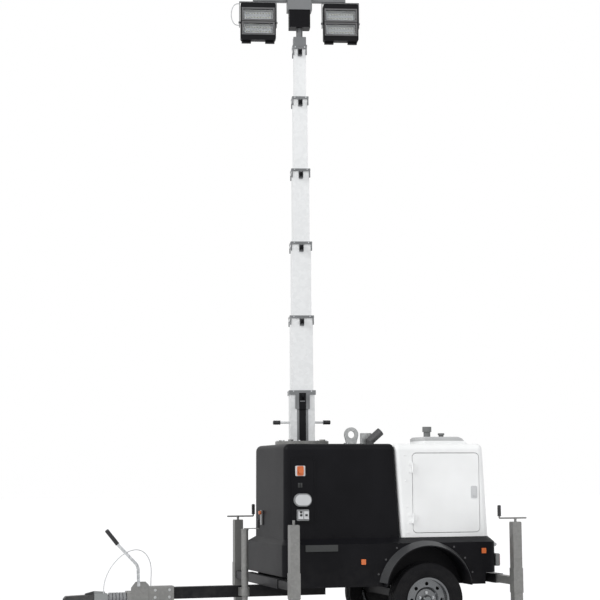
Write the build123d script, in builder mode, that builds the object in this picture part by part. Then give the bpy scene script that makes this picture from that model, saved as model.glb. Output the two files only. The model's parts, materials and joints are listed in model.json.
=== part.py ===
"""Mobile light tower: single-axle trailer with a part-raised telescopic mast.

Millimetres. +X points forward to the tow coupling, +Y to the left, +Z up.
The origin is on the ground, under the middle of the whole machine.
"""
from build123d import *
from math import hypot, radians, tan
import os

os.makedirs("parts", exist_ok=True)

# Overall layout
overall_length = 3890
half_length = overall_length / 2
skirt_half_width = 620
skirt_length = 1960
skirt_rear_x = -half_length + 150
skirt_front_x = skirt_rear_x + skirt_length
drawbar_front_x = half_length - 750
axle_x = skirt_rear_x + 670
mast_x = skirt_front_x - 355
mast_turned = -12.5
running_gap = 0.3
slide_gap = 0.3

# Road wheels
wheel_radius = 325
wheel_width = 185
wheel_track = 2 * (skirt_half_width - 20)
rim_radius = 182
rim_width = 140
rim_wall = 5
disc_y = 22
hub_radius = 42
hub_length = 90
stub_radius = 20
disc_hole_count = 8
disc_hole_radius = 16
disc_hole_circle = 140

# Frame
rail_width = 50
rail_height = 80
rail_wall = 5
rail_y = skirt_half_width - 290
rail_bottom_z = 450
rail_mid_z = rail_bottom_z + rail_height / 2
rail_top_z = rail_bottom_z + rail_height
tray_thickness = 4

# Axle
axle_beam_size = 75
axle_beam_z = 370
axle_beam_ahead = 150
trailing_arm_y = rail_y + 110
trailing_arm_thickness = 24
arm_root_radius = 52
arm_end_radius = 38
axle_seat_length = axle_beam_size + 60
axle_seat_width = rail_width + 10

# Outriggers and jacks
sleeve_size = 80
sleeve_wall = 6
sleeve_half_length = skirt_half_width - 60
arm_wall = 5
arm_inner_y = rail_y - 30
arm_size = sleeve_size - 2 * sleeve_wall - 2 * slide_gap
jack_y = skirt_half_width + 310
jack_tube = 80
jack_wall = 5
jack_bottom_z = 300
jack_top_z = 990
jack_cap_thickness = 6
collar_bottom_z = 390
collar_height = 210
collar_margin = 4
leg_wall = 4
leg_bottom_z = 46
leg_top_z = 725
leg_size = jack_tube - 2 * jack_wall - 2 * slide_gap
foot_radius = 75
foot_thickness = 8
foot_stem_radius = 22
foot_cone_radius = foot_stem_radius + 16
foot_cone_height = 10
foot_cone_taper = 30
spindle_radius = 11
spindle_height = 45
crank_tail = 104
crank_reach = 150
crank_bar_radius = 7
crank_grip_height = 110
crank_grip_radius = 14
crank_grip_start = 18
front_jack_x = skirt_front_x
rear_jack_x = -half_length + crank_tail

# Lower skirt
skirt_bottom_z = 450
skirt_shoulder_z = 815
belt_z = 860
skirt_wall = 6
skirt_corner = 60
skirt_flange = 30
end_panel_bottom_z = 548
end_notch_depth = 110
arch_radius = 400
arch_centre_z = 395
flare_wall = 8
flare_outer_y = skirt_half_width + 95
well_inner_y = skirt_half_width - 146
well_wall = 4

# Canopy
canopy_half_width = skirt_half_width - 120
canopy_front_x = skirt_front_x - 47
canopy_front_top_x = canopy_front_x - 4
canopy_rear_x = skirt_rear_x + 13
canopy_rear_top_x = canopy_rear_x + 42
canopy_top_z = 1680
canopy_wall = 45
canopy_round = 55
door_rear_x = canopy_rear_x + 87
door_front_x = door_rear_x + 640
seam_bottom_x = door_front_x + 110
seam_top_x = seam_bottom_x + 50
seam_gap = 3
seam_round = 40
door_bottom_z = 895
door_top_z = 1600
door_gap = 5
door_corner = 40
hinge_radius = 8
hinge_length = 90

# Engine and alternator, one plain block
engine_length = 620
engine_width = 430
engine_height = 560
engine_mid_x = axle_x - 195
engine_mount_height = 40
engine_mount_length = 70
engine_mount_width = 60
engine_mount_span = engine_length - 120
engine_mount_spread = engine_width - 100
engine_round = 30

# Mast: nested square tubes on a turning base with a rope slot in its left face
stage_count = 5
mast_base_size = 220
mast_size_step = 22
mast_wall = 4
mast_slot = 66
mast_base_bottom_z = 566
mast_base_top_z = 2165
stage_length = 1560
stage_rest_step = 675
last_stage_rest_step = 475
last_stage_length = 1360
collar_band = 18
collar_cheek = 40
collar_thickness = 8
tongue_width = 40
tongue_height = 95
base_bracket_width = mast_slot + 30
base_bracket_height = 130
turn_ring_radius = 175
turn_ring_height = 14
base_plate_thickness = 12
roof_ring_outer = 240
roof_ring_height = 30
roof_lug_length = 44
roof_lug_width = 30
roof_lug_rise = 14
handle_z = 1880
handle_reach = 257
handle_radius = 10
handle_grip_radius = 17
handle_grip_length = 62

# Lamp head
lamp_spacing = 383
lamp_width = 326
lamp_height = 350
lamp_depth = 110
lamp_border = 27
lamp_foot_length = 86
lamp_foot_width = 36
lamp_foot_height = 20
glass_thickness = 6
glass_setback = 8
lamp_pivot_radius = 10
yoke_width = 40
yoke_thickness = 6
yoke_side_gap = 5
yoke_swing_gap = 7
crossbar_size = 50
crossbar_half_length = 430
neck_radius = 30
neck_height = 90
lower_box_height = 165
lower_box_width = 195
lower_box_depth = 140
upper_box_width = 229
upper_box_depth = 150
upper_box_rise = 20
yoke_tail = 45

# Drawbar, coupling and jockey wheel
drawbar_width = 80
drawbar_height = 100
drawbar_wall = 6
drawbar_rear_x = mast_x - 200
drawbar_top_z = rail_bottom_z
drawbar_mid_z = drawbar_top_z - drawbar_height / 2
coupling_shaft_radius = 27
coupling_z = 372
ball_radius = 25
nose_round = 46
ball_x = half_length - nose_round
clamp_length = 205
jockey_room = drawbar_front_x - clamp_length - skirt_front_x
jockey_x = skirt_front_x + 82.5 + 0.15 * jockey_room
jockey_y = 112
jockey_outer_radius = 30
jockey_wall = 5
jockey_top_z = 930
jockey_crank_reach = 120
jockey_bottom_z = 380
jockey_wheel_radius = 100
jockey_wheel_width = 56
jockey_trail = 35
jockey_cap_height = 12
jockey_handle_radius = 12
jockey_handle_height = 80

# Roof fittings
lift_x = mast_x - roof_ring_outer - 228
lift_ring_outer = 66
lift_ring_hole = 32.5
lift_ring_thickness = 22
lift_foot_length = 260
lift_ring_z = canopy_top_z + 92
exhaust_x = lift_x - 142
exhaust_y = 100
exhaust_radius = 38
exhaust_wall = 3
exhaust_flange = 16
exhaust_lean = 105
pod_rear_x = canopy_rear_x + 97
pod_front_x = pod_rear_x + 385
pod_half_width = 190
pod_height = 70


def write(part, name):
    """Label one finished piece and write it to its own file."""
    part.label = name
    export_step(part, f"parts/{name}.step")


def write_turned(part, name):
    """Write a piece that stands on the mast, which rests turned about its own axis."""
    write(part.rotate(Axis((mast_x, 0, 0), (0, 0, 1)), mast_turned), name)


def hollow(width, height, wall):
    """Hollow rectangular section, drawn in the sketch that is open."""
    Rectangle(width, height)
    Rectangle(width - 2 * wall, height - 2 * wall, mode=Mode.SUBTRACT)


# Frame: rails, cross members, outrigger sleeves, base tray and the mast's pedestal
rail_front_x = front_jack_x - sleeve_size / 2
rail_rear_x = rear_jack_x + sleeve_size / 2
axle_beam_x = axle_x + axle_beam_ahead
cross_member_x = (mast_x + 150, mast_x - 150, axle_beam_x, axle_x - 330)
tray_front_x = skirt_front_x - end_notch_depth
tray_rear_x = skirt_rear_x + end_notch_depth
tray_mid_x = (tray_front_x + tray_rear_x) / 2
tray_top_z = rail_top_z + tray_thickness
tray_half_width = skirt_half_width - skirt_wall - slide_gap
well_strip = tray_half_width - well_inner_y + slide_gap
foot_radius_outer = 130
foot_pin_radius = 25
foot_pin_height = 30

with BuildPart() as chassis_frame:
    with BuildSketch(Plane.YZ.offset(rail_rear_x)):
        with Locations((rail_y, rail_mid_z), (-rail_y, rail_mid_z)):
            hollow(rail_width, rail_height, rail_wall)
    extrude(amount=rail_front_x - rail_rear_x)
    with BuildSketch(Plane.XZ.offset(-(rail_y - rail_width / 2))):
        for member_x in cross_member_x:
            with Locations((member_x, rail_mid_z)):
                hollow(rail_width, rail_height, rail_wall)
    extrude(amount=2 * rail_y - rail_width)
    with BuildSketch(Plane.XZ.offset(-sleeve_half_length)):
        for sleeve_x in (front_jack_x, rear_jack_x):
            with Locations((sleeve_x, rail_mid_z)):
                hollow(sleeve_size, sleeve_size, sleeve_wall)
    extrude(amount=2 * sleeve_half_length)
    with BuildSketch(Plane.XY.offset(rail_top_z)):
        with Locations((tray_mid_x, 0)):
            Rectangle(tray_front_x - tray_rear_x, 2 * tray_half_width)
        with Locations(
            (axle_x, tray_half_width - well_strip / 2),
            (axle_x, -tray_half_width + well_strip / 2),
        ):
            Rectangle(2 * arch_radius + 4, well_strip, mode=Mode.SUBTRACT)
    extrude(amount=tray_thickness)
    with BuildSketch(Plane.XY.offset(tray_top_z)):
        with Locations((mast_x, 0)):
            Circle(foot_radius_outer)
    extrude(amount=mast_base_bottom_z - slide_gap - tray_top_z)
    with BuildSketch(Plane.XY.offset(mast_base_bottom_z - slide_gap)):
        with Locations((mast_x, 0)):
            Circle(foot_pin_radius)
    extrude(amount=foot_pin_height)
write(chassis_frame.part, "chassis_frame")

# Axle: torsion beam under the rails, trailing arms and stub axles
axle_top_z = axle_beam_z + axle_beam_size / 2
stub_outer_y = wheel_track / 2 + hub_length / 2 - 8
with BuildPart() as axle:
    with BuildSketch(Plane.XZ.offset(-(trailing_arm_y - trailing_arm_thickness / 2))):
        with Locations((axle_beam_x, axle_beam_z)):
            RectangleRounded(axle_beam_size, axle_beam_size, 10)
    extrude(amount=2 * trailing_arm_y - trailing_arm_thickness)
    for side in (1, -1):
        arm_face_y = side * trailing_arm_y + trailing_arm_thickness / 2
        with BuildSketch(Plane.XZ.offset(-arm_face_y)):
            with Locations((axle_beam_x, axle_beam_z)):
                Circle(arm_root_radius)
            with Locations((axle_x, wheel_radius)):
                Circle(arm_end_radius)
            make_hull()
        extrude(amount=trailing_arm_thickness)
        with BuildSketch(Plane.XY.offset(axle_top_z)):
            with Locations((axle_beam_x, side * rail_y)):
                Rectangle(axle_seat_length, axle_seat_width)
        extrude(amount=rail_bottom_z - axle_top_z)
        with BuildSketch(Plane.XZ.offset(-side * trailing_arm_y)):
            with Locations((axle_x, wheel_radius)):
                Circle(stub_radius)
        extrude(amount=-side * (stub_outer_y - trailing_arm_y))
write(axle.part, "axle")

# Road wheels: tyre and steel disc wheel, turned about the stub axle
half_tyre = wheel_width / 2
half_rim = rim_width / 2
bead_y = half_rim - 8
hub_end = hub_length / 2
for side, side_name in ((1, "left"), (-1, "right")):
    wheel_centre = (axle_x, side * wheel_track / 2, wheel_radius)
    wheel_plane = Plane(wheel_centre, x_dir=(0, side, 0), z_dir=(side, 0, 0))
    spin_axis = Axis(wheel_centre, (0, 1, 0))
    with BuildPart() as tyre:
        with BuildSketch(wheel_plane):
            with BuildLine():
                Polyline(
                    (-bead_y, rim_radius),
                    (-bead_y, rim_radius + 14),
                    (-half_tyre + 12, rim_radius + 34),
                    (-half_tyre, wheel_radius - 66),
                    (-half_tyre + 20, wheel_radius - 8),
                    (-half_tyre + 34, wheel_radius),
                    (half_tyre - 34, wheel_radius),
                    (half_tyre - 20, wheel_radius - 8),
                    (half_tyre, wheel_radius - 66),
                    (half_tyre - 12, rim_radius + 34),
                    (bead_y, rim_radius + 14),
                    (bead_y, rim_radius),
                    close=True,
                )
            make_face()
        revolve(axis=spin_axis)
    write(tyre.part, f"tyre_{side_name}")

    with BuildPart() as rim:
        with BuildSketch(wheel_plane):
            with BuildLine():
                Polyline(
                    (-half_rim, rim_radius + 12),
                    (-half_rim, rim_radius - rim_wall),
                    (half_rim, rim_radius - rim_wall),
                    (half_rim, rim_radius + 12),
                    (half_rim - rim_wall, rim_radius + 12),
                    (half_rim - rim_wall, rim_radius - running_gap),
                    (-half_rim + rim_wall, rim_radius - running_gap),
                    (-half_rim + rim_wall, rim_radius + 12),
                    close=True,
                )
            make_face()
            with BuildLine():
                Polyline(
                    (disc_y - 8, hub_radius - 2),
                    (disc_y - 8, 92),
                    (disc_y + 12, 112),
                    (disc_y + 12, rim_radius - 4),
                    (disc_y + 7, rim_radius - 4),
                    (disc_y + 7, 114),
                    (disc_y - 13, 94),
                    (disc_y - 13, hub_radius - 2),
                    close=True,
                )
            make_face()
            with BuildLine():
                Polyline(
                    (-hub_end, stub_radius + running_gap),
                    (-hub_end, hub_radius),
                    (hub_end - 4, hub_radius),
                    (hub_end + 12, hub_radius - 12),
                    (hub_end + 12, 0),
                    (hub_end - 7, 0),
                    (hub_end - 7, stub_radius + running_gap),
                    close=True,
                )
            make_face()
        revolve(axis=spin_axis)
        with Locations(Plane(wheel_centre, x_dir=(1, 0, 0), z_dir=(0, side, 0))):
            with PolarLocations(disc_hole_circle, disc_hole_count):
                Cylinder(
                    disc_hole_radius,
                    half_rim,
                    align=(Align.CENTER, Align.CENTER, Align.MIN),
                    mode=Mode.SUBTRACT,
                )
    write(rim.part, f"rim_{side_name}")

# Outriggers: sliding arm, clamp collar, jack tube and crank, and the leg inside it
collar_size = jack_tube + 2 * collar_margin
outriggers = (
    # name, x, side, crank direction along x (0 is a bare spindle)
    ("front_left", front_jack_x, 1, 0),
    ("front_right", front_jack_x, -1, -1),
    ("rear_left", rear_jack_x, 1, 1),
    ("rear_right", rear_jack_x, -1, 1),
)
for corner, jack_x, side, crank_way in outriggers:
    with BuildPart() as outrigger:
        with BuildSketch(Plane.XZ.offset(-side * arm_inner_y)):
            with Locations((jack_x, rail_mid_z)):
                hollow(arm_size, arm_size, arm_wall)
        extrude(amount=-side * (jack_y - jack_tube / 2 - arm_inner_y))
        with BuildSketch(Plane.XY.offset(jack_bottom_z)):
            with Locations((jack_x, side * jack_y)):
                hollow(jack_tube, jack_tube, jack_wall)
        extrude(amount=jack_top_z - jack_bottom_z)
        with BuildSketch(Plane.XY.offset(collar_bottom_z)):
            with Locations((jack_x, side * jack_y)):
                hollow(collar_size, collar_size, collar_margin + 1)
        extrude(amount=collar_height)
        with BuildSketch(Plane.XY.offset(jack_top_z)):
            with Locations((jack_x, side * jack_y)):
                RectangleRounded(jack_tube, jack_tube, 8)
        extrude(amount=jack_cap_thickness)
        with BuildSketch(Plane.XY.offset(jack_top_z)):
            with Locations((jack_x, side * jack_y)):
                Circle(spindle_radius)
        extrude(amount=spindle_height)
        if crank_way:
            crank_z = jack_top_z + spindle_height - crank_bar_radius
            bar_start_x = jack_x - crank_way * crank_tail
            bar_end_x = jack_x + crank_way * crank_reach
            with BuildSketch(Plane.YZ.offset(bar_start_x)):
                with Locations((side * jack_y, crank_z)):
                    Circle(crank_bar_radius)
            extrude(amount=bar_end_x - bar_start_x)
            with BuildSketch(Plane.XY.offset(crank_z)):
                with Locations((bar_end_x, side * jack_y)):
                    Circle(crank_bar_radius)
            extrude(amount=crank_grip_height)
            with BuildSketch(Plane.XY.offset(crank_z + crank_grip_start)):
                with Locations((bar_end_x, side * jack_y)):
                    Circle(crank_grip_radius)
            extrude(amount=crank_grip_height - crank_grip_start)
    write(outrigger.part, f"outrigger_{corner}")

    with BuildPart() as leg:
        with BuildSketch(Plane.XY.offset(leg_bottom_z)):
            with Locations((jack_x, side * jack_y)):
                hollow(leg_size, leg_size, leg_wall)
        extrude(amount=leg_top_z - leg_bottom_z)
        with BuildSketch(Plane.XY.offset(leg_bottom_z)):
            with Locations((jack_x, side * jack_y)):
                Rectangle(leg_size, leg_size)
        extrude(amount=6)
        with BuildSketch(Plane.XY):
            with Locations((jack_x, side * jack_y)):
                Circle(foot_radius)
        extrude(amount=foot_thickness)
        with BuildSketch(Plane.XY.offset(foot_thickness)):
            with Locations((jack_x, side * jack_y)):
                Circle(foot_cone_radius)
        extrude(amount=foot_cone_height, taper=foot_cone_taper)
        with BuildSketch(Plane.XY.offset(foot_thickness)):
            with Locations((jack_x, side * jack_y)):
                Circle(foot_stem_radius)
        extrude(amount=leg_bottom_z - foot_thickness)
    write(leg.part, f"jack_leg_{corner}")

# Lower skirt: moulded surround with a sloping shoulder, wheel arches and raised ends
skirt_mid_x = (skirt_front_x + skirt_rear_x) / 2
canopy_mid_x = (canopy_front_x + canopy_rear_x) / 2
canopy_length = canopy_front_x - canopy_rear_x
skirt_width = 2 * skirt_half_width
canopy_width = 2 * canopy_half_width
with BuildPart() as lower_skirt:
    with BuildSketch(Plane.XY.offset(skirt_bottom_z)):
        with Locations((skirt_mid_x, 0)):
            RectangleRounded(skirt_length, skirt_width, skirt_corner)
    extrude(amount=skirt_shoulder_z - skirt_bottom_z)
    with BuildSketch(Plane.XY.offset(skirt_shoulder_z)):
        with Locations((skirt_mid_x, 0)):
            RectangleRounded(skirt_length, skirt_width, skirt_corner)
    with BuildSketch(Plane.XY.offset(belt_z)):
        with Locations((canopy_mid_x, 0)):
            RectangleRounded(canopy_length, canopy_width, canopy_round)
    loft()
    with BuildSketch(Plane.XY.offset(skirt_bottom_z)):
        with Locations((skirt_mid_x, 0)):
            RectangleRounded(
                skirt_length - 2 * skirt_wall, skirt_width - 2 * skirt_wall, skirt_corner - skirt_wall
            )
    extrude(amount=skirt_shoulder_z - skirt_wall - skirt_bottom_z, mode=Mode.SUBTRACT)
    with BuildSketch(Plane.XY.offset(skirt_bottom_z)):
        with Locations((canopy_mid_x, 0)):
            RectangleRounded(
                canopy_length - 2 * skirt_flange, canopy_width - 2 * skirt_flange, canopy_round - skirt_flange
            )
    extrude(amount=belt_z - skirt_bottom_z, mode=Mode.SUBTRACT)
    with BuildSketch(Plane.XZ.offset(-skirt_half_width - 1)):
        with Locations((axle_x, arch_centre_z)):
            Circle(arch_radius + slide_gap)
    extrude(amount=skirt_width + 2, mode=Mode.SUBTRACT)
    notch_height = end_panel_bottom_z - skirt_bottom_z
    with BuildSketch(Plane.XZ.offset(-skirt_half_width - 1)):
        with Locations((skirt_front_x, skirt_bottom_z), (skirt_rear_x, skirt_bottom_z)):
            Rectangle(2 * end_notch_depth, 2 * notch_height)
    extrude(amount=skirt_width + 2, mode=Mode.SUBTRACT)
write(lower_skirt.part, "lower_skirt")

# Mudguards: on each side a wheel-well liner, its inner plate and the flared outer lip
arch_foot_z = arch_centre_z - arch_radius
with BuildPart() as mudguards:
    for side in (1, -1):
        with BuildSketch(Plane.XZ.offset(-side * well_inner_y)):
            with Locations((axle_x, arch_centre_z)):
                Circle(arch_radius)
                Circle(arch_radius - flare_wall, mode=Mode.SUBTRACT)
        extrude(amount=-side * (flare_outer_y - well_inner_y))
        with BuildSketch(Plane.XZ.offset(-side * well_inner_y)):
            with Locations((axle_x, arch_centre_z)):
                Circle(arch_radius)
        extrude(amount=-side * well_wall)
    with BuildSketch(Plane.XY.offset(arch_foot_z)):
        with Locations((axle_x, 0)):
            Rectangle(2 * arch_radius + 2, 2 * flare_outer_y + 2)
    extrude(amount=skirt_bottom_z - arch_foot_z, mode=Mode.SUBTRACT)
write(mudguards.part, "mudguards")

# Canopy: one rounded block, hollowed and parted at the seam into two shells
def canopy_block(inset):
    """Whole canopy, drawn in by inset on every side but its open bottom."""
    front = canopy_front_x - inset
    rear = canopy_rear_x + inset
    with BuildPart() as block:
        with BuildSketch(Plane.XZ.offset(-(canopy_half_width - inset))):
            with BuildLine():
                Polyline(
                    (front, belt_z),
                    (canopy_front_top_x - inset, canopy_top_z - inset),
                    (canopy_rear_top_x + inset, canopy_top_z - inset),
                    (rear, belt_z),
                    close=True,
                )
            make_face()
        extrude(amount=2 * (canopy_half_width - inset))
        upper_edges = block.edges().filter_by(lambda edge: edge.center().Z > belt_z + 1)
        fillet(upper_edges, canopy_round - inset)
    return block.part


def seam_side(direction):
    """Everything on one side of the sloping seam: direction is 1 for the front, -1 for the rear."""
    far_x = direction * overall_length
    start_bottom = seam_bottom_x + direction * seam_gap / 2
    start_top = seam_top_x + direction * seam_gap / 2
    with BuildPart() as region:
        with BuildSketch(Plane.XZ.offset(-canopy_half_width - 1)):
            with BuildLine():
                Polyline(
                    (start_bottom, belt_z),
                    (start_top, canopy_top_z),
                    (start_top, canopy_top_z + 1),
                    (far_x, canopy_top_z + 1),
                    (far_x, belt_z - 1),
                    (start_bottom, belt_z - 1),
                    close=True,
                )
            make_face()
        extrude(amount=2 * canopy_half_width + 2)
    return region.part


def canopy_shell(direction):
    """One hollow shell of the canopy, its outer edge rounded along the seam."""
    with BuildPart() as shell:
        add(canopy_outer)
        add(seam_side(direction), mode=Mode.INTERSECT)
        seam_face = shell.faces().sort_by(Axis.X)[0 if direction == 1 else -1]
        fillet(seam_face.edges().filter_by(lambda edge: edge.center().Z > belt_z + 1), seam_round)
        add(canopy_inner, mode=Mode.SUBTRACT)
    return shell.part


canopy_outer = canopy_block(0)
canopy_inner = canopy_block(canopy_wall)
roof_hole_radius = turn_ring_radius - 10

with BuildPart() as front_canopy:
    add(canopy_shell(1))
    with BuildSketch(Plane.XY.offset(canopy_top_z + 1)):
        with Locations((mast_x, 0)):
            Circle(roof_hole_radius)
    extrude(amount=-canopy_wall - 2, mode=Mode.SUBTRACT)
write(front_canopy.part, "front_canopy")

# Service doors: cut from the rear canopy's side walls and hung at their front edges
door_mid_x = (door_front_x + door_rear_x) / 2
door_mid_z = (door_bottom_z + door_top_z) / 2
door_length = door_front_x - door_rear_x
door_height = door_top_z - door_bottom_z
hinge_x = door_front_x - door_gap / 2
hinge_y = canopy_half_width + hinge_radius + 0.5
hinge_levels = (door_bottom_z + 130, door_top_z - 130)
hinge_leaf = 34
hinge_leaf_thickness = 6
hinge_pin_radius = 4


def door_prism(side, shrink):
    """Rounded prism through one side wall, shrink smaller than the doorway all round."""
    with BuildPart() as prism:
        with BuildSketch(Plane.XZ.offset(-side * (canopy_half_width - canopy_wall - 1))):
            with Locations((door_mid_x, door_mid_z)):
                RectangleRounded(door_length - 2 * shrink, door_height - 2 * shrink, door_corner - shrink)
        extrude(amount=-side * (canopy_wall + 2))
    return prism.part


def hinge_knuckle(side, bottom_z, height, direction):
    """Barrel and flat leaf of a hinge: direction is 1 for the canopy's half, -1 for the door's."""
    leaf_reach = hinge_leaf + door_gap
    leaf_mid_x = hinge_x + direction * leaf_reach / 2
    leaf_mid_y = side * (canopy_half_width + hinge_leaf_thickness / 2)
    with BuildPart() as knuckle:
        with BuildSketch(Plane.XY.offset(bottom_z)):
            with Locations((hinge_x, side * hinge_y)):
                Circle(hinge_radius)
            with Locations((leaf_mid_x, leaf_mid_y)):
                Rectangle(leaf_reach, hinge_leaf_thickness)
        extrude(amount=height)
    return knuckle.part


knuckle_gap = 0.5
door_knuckle = hinge_length * 0.5
canopy_knuckle = hinge_length * 0.25
with BuildPart() as rear_canopy:
    add(canopy_shell(-1))
    for side in (1, -1):
        add(door_prism(side, 0), mode=Mode.SUBTRACT)
        for level in hinge_levels:
            add(hinge_knuckle(side, level - hinge_length / 2, canopy_knuckle, 1))
            add(hinge_knuckle(side, level + hinge_length / 2 - canopy_knuckle, canopy_knuckle, 1))
            with BuildSketch(Plane.XY.offset(level - hinge_length / 2)):
                with Locations((hinge_x, side * hinge_y)):
                    Circle(hinge_pin_radius)
            extrude(amount=hinge_length)
write(rear_canopy.part, "rear_canopy")

wall_blank = canopy_outer - canopy_inner
for side, side_name in ((1, "left"), (-1, "right")):
    with BuildPart() as door:
        add(wall_blank)
        add(door_prism(side, door_gap), mode=Mode.INTERSECT)
        for level in hinge_levels:
            knuckle_bottom_z = level - door_knuckle / 2 + knuckle_gap
            add(hinge_knuckle(side, knuckle_bottom_z, door_knuckle - 2 * knuckle_gap, -1))
            with BuildSketch(Plane.XY.offset(level - hinge_length / 2)):
                with Locations((hinge_x, side * hinge_y)):
                    Circle(hinge_pin_radius + running_gap)
            extrude(amount=hinge_length, mode=Mode.SUBTRACT)
    write(door.part, f"service_door_{side_name}")

# Engine and alternator: one plain block on four mounts
with BuildPart() as engine_block:
    with BuildSketch(Plane.XY.offset(tray_top_z)):
        with Locations((engine_mid_x, 0)):
            with GridLocations(engine_mount_span, engine_mount_spread, 2, 2):
                Rectangle(engine_mount_length, engine_mount_width)
    extrude(amount=engine_mount_height)
    with BuildSketch(Plane.XY.offset(tray_top_z + engine_mount_height)):
        with Locations((engine_mid_x, 0)):
            RectangleRounded(engine_length, engine_width, engine_round)
    extrude(amount=engine_height)
write(engine_block.part, "engine_block")

# Roof ring: bearing ring on the roof that guides the mast as it turns
with BuildPart() as roof_ring:
    with BuildSketch(Plane.XY.offset(canopy_top_z)):
        with Locations((mast_x, 0)):
            Circle(roof_ring_outer)
            Circle(turn_ring_radius + running_gap, mode=Mode.SUBTRACT)
    extrude(amount=roof_ring_height)
    with BuildSketch(Plane.XY.offset(canopy_top_z)):
        with Locations((mast_x, 0)):
            with PolarLocations((roof_ring_outer + turn_ring_radius) / 2, 4, start_angle=45):
                Rectangle(roof_lug_length, roof_lug_width)
    extrude(amount=roof_ring_height + roof_lug_rise)
write(roof_ring.part, "roof_ring")


def stage_size(index):
    """Outer width of mast section number index, 0 being the base."""
    return mast_base_size - mast_size_step * index


# Mast sections: square tubes with a guide collar and a rope tongue at the top, the base with its
# rope slot, turning plate and handles
section_tops = [mast_base_top_z + stage_rest_step * index for index in range(stage_count)]
section_tops.append(section_tops[-1] + last_stage_rest_step)
section_lengths = [mast_base_top_z - mast_base_bottom_z]
section_lengths += [stage_length] * (stage_count - 1)
section_lengths.append(last_stage_length)

for index in range(stage_count + 1):
    size = stage_size(index)
    top_z = section_tops[index]
    bottom_z = top_z - section_lengths[index]
    with BuildPart() as section:
        with BuildSketch(Plane.XY.offset(bottom_z)):
            with Locations((mast_x, 0)):
                hollow(size, size, mast_wall)
            if index == 0:
                with Locations((mast_x, size / 2)):
                    Rectangle(mast_slot, 3 * mast_wall, mode=Mode.SUBTRACT)
        extrude(amount=top_z - bottom_z)
        with BuildSketch(Plane.XY.offset(top_z - collar_band)):
            with Locations((mast_x, 0)):
                hollow(size + 2 * collar_thickness, size + 2 * collar_thickness, collar_thickness)
        extrude(amount=collar_band)
        with BuildSketch(Plane.XY.offset(top_z - collar_cheek)):
            with Locations((mast_x, 0)):
                with GridLocations(size + collar_thickness, 0, 2, 1):
                    Rectangle(collar_thickness, size + 2 * collar_thickness)
        extrude(amount=collar_cheek)
        if index < stage_count:
            guide_bore = stage_size(index + 1) + 2 * slide_gap
            with BuildSketch(Plane.XY.offset(top_z - collar_band)):
                with Locations((mast_x, 0)):
                    Rectangle(size - mast_wall, size - mast_wall)
                    Rectangle(guide_bore, guide_bore, mode=Mode.SUBTRACT)
            extrude(amount=collar_band)
        if index > 0:
            with BuildSketch(Plane.XY.offset(top_z - tongue_height)):
                with Locations((mast_x, size / 2 + collar_thickness / 2)):
                    Rectangle(tongue_width, collar_thickness)
            extrude(amount=tongue_height)
        if index == 0:
            with BuildSketch(Plane.XY.offset(bottom_z)):
                with Locations((mast_x, 0)):
                    Rectangle(size, size)
                    Circle(foot_pin_radius + running_gap, mode=Mode.SUBTRACT)
            extrude(amount=base_plate_thickness)
            with BuildSketch(Plane.XY.offset(canopy_top_z + slide_gap)):
                with Locations((mast_x, 0)):
                    Circle(turn_ring_radius)
                    Rectangle(size - 2, size - 2, mode=Mode.SUBTRACT)
            extrude(amount=turn_ring_height)
            with BuildSketch(Plane.YZ.offset(mast_x - handle_reach)):
                with Locations((0, handle_z)):
                    Circle(handle_radius)
            extrude(amount=handle_reach - size / 2)
            with BuildSketch(Plane.YZ.offset(mast_x + size / 2)):
                with Locations((0, handle_z)):
                    Circle(handle_radius)
            extrude(amount=handle_reach - size / 2)
            for grip_x in (mast_x - handle_reach, mast_x + handle_reach - handle_grip_length):
                with BuildSketch(Plane.YZ.offset(grip_x)):
                    with Locations((0, handle_z)):
                        Circle(handle_grip_radius)
                extrude(amount=handle_grip_length)
            with BuildSketch(Plane.XY.offset(top_z - collar_band - base_bracket_height)):
                with Locations((mast_x, size / 2 + collar_thickness / 2)):
                    Rectangle(base_bracket_width, collar_thickness)
            extrude(amount=base_bracket_height)
    section_name = "mast_base" if index == 0 else f"mast_stage_{index}"
    write_turned(section.part, section_name)

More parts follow.
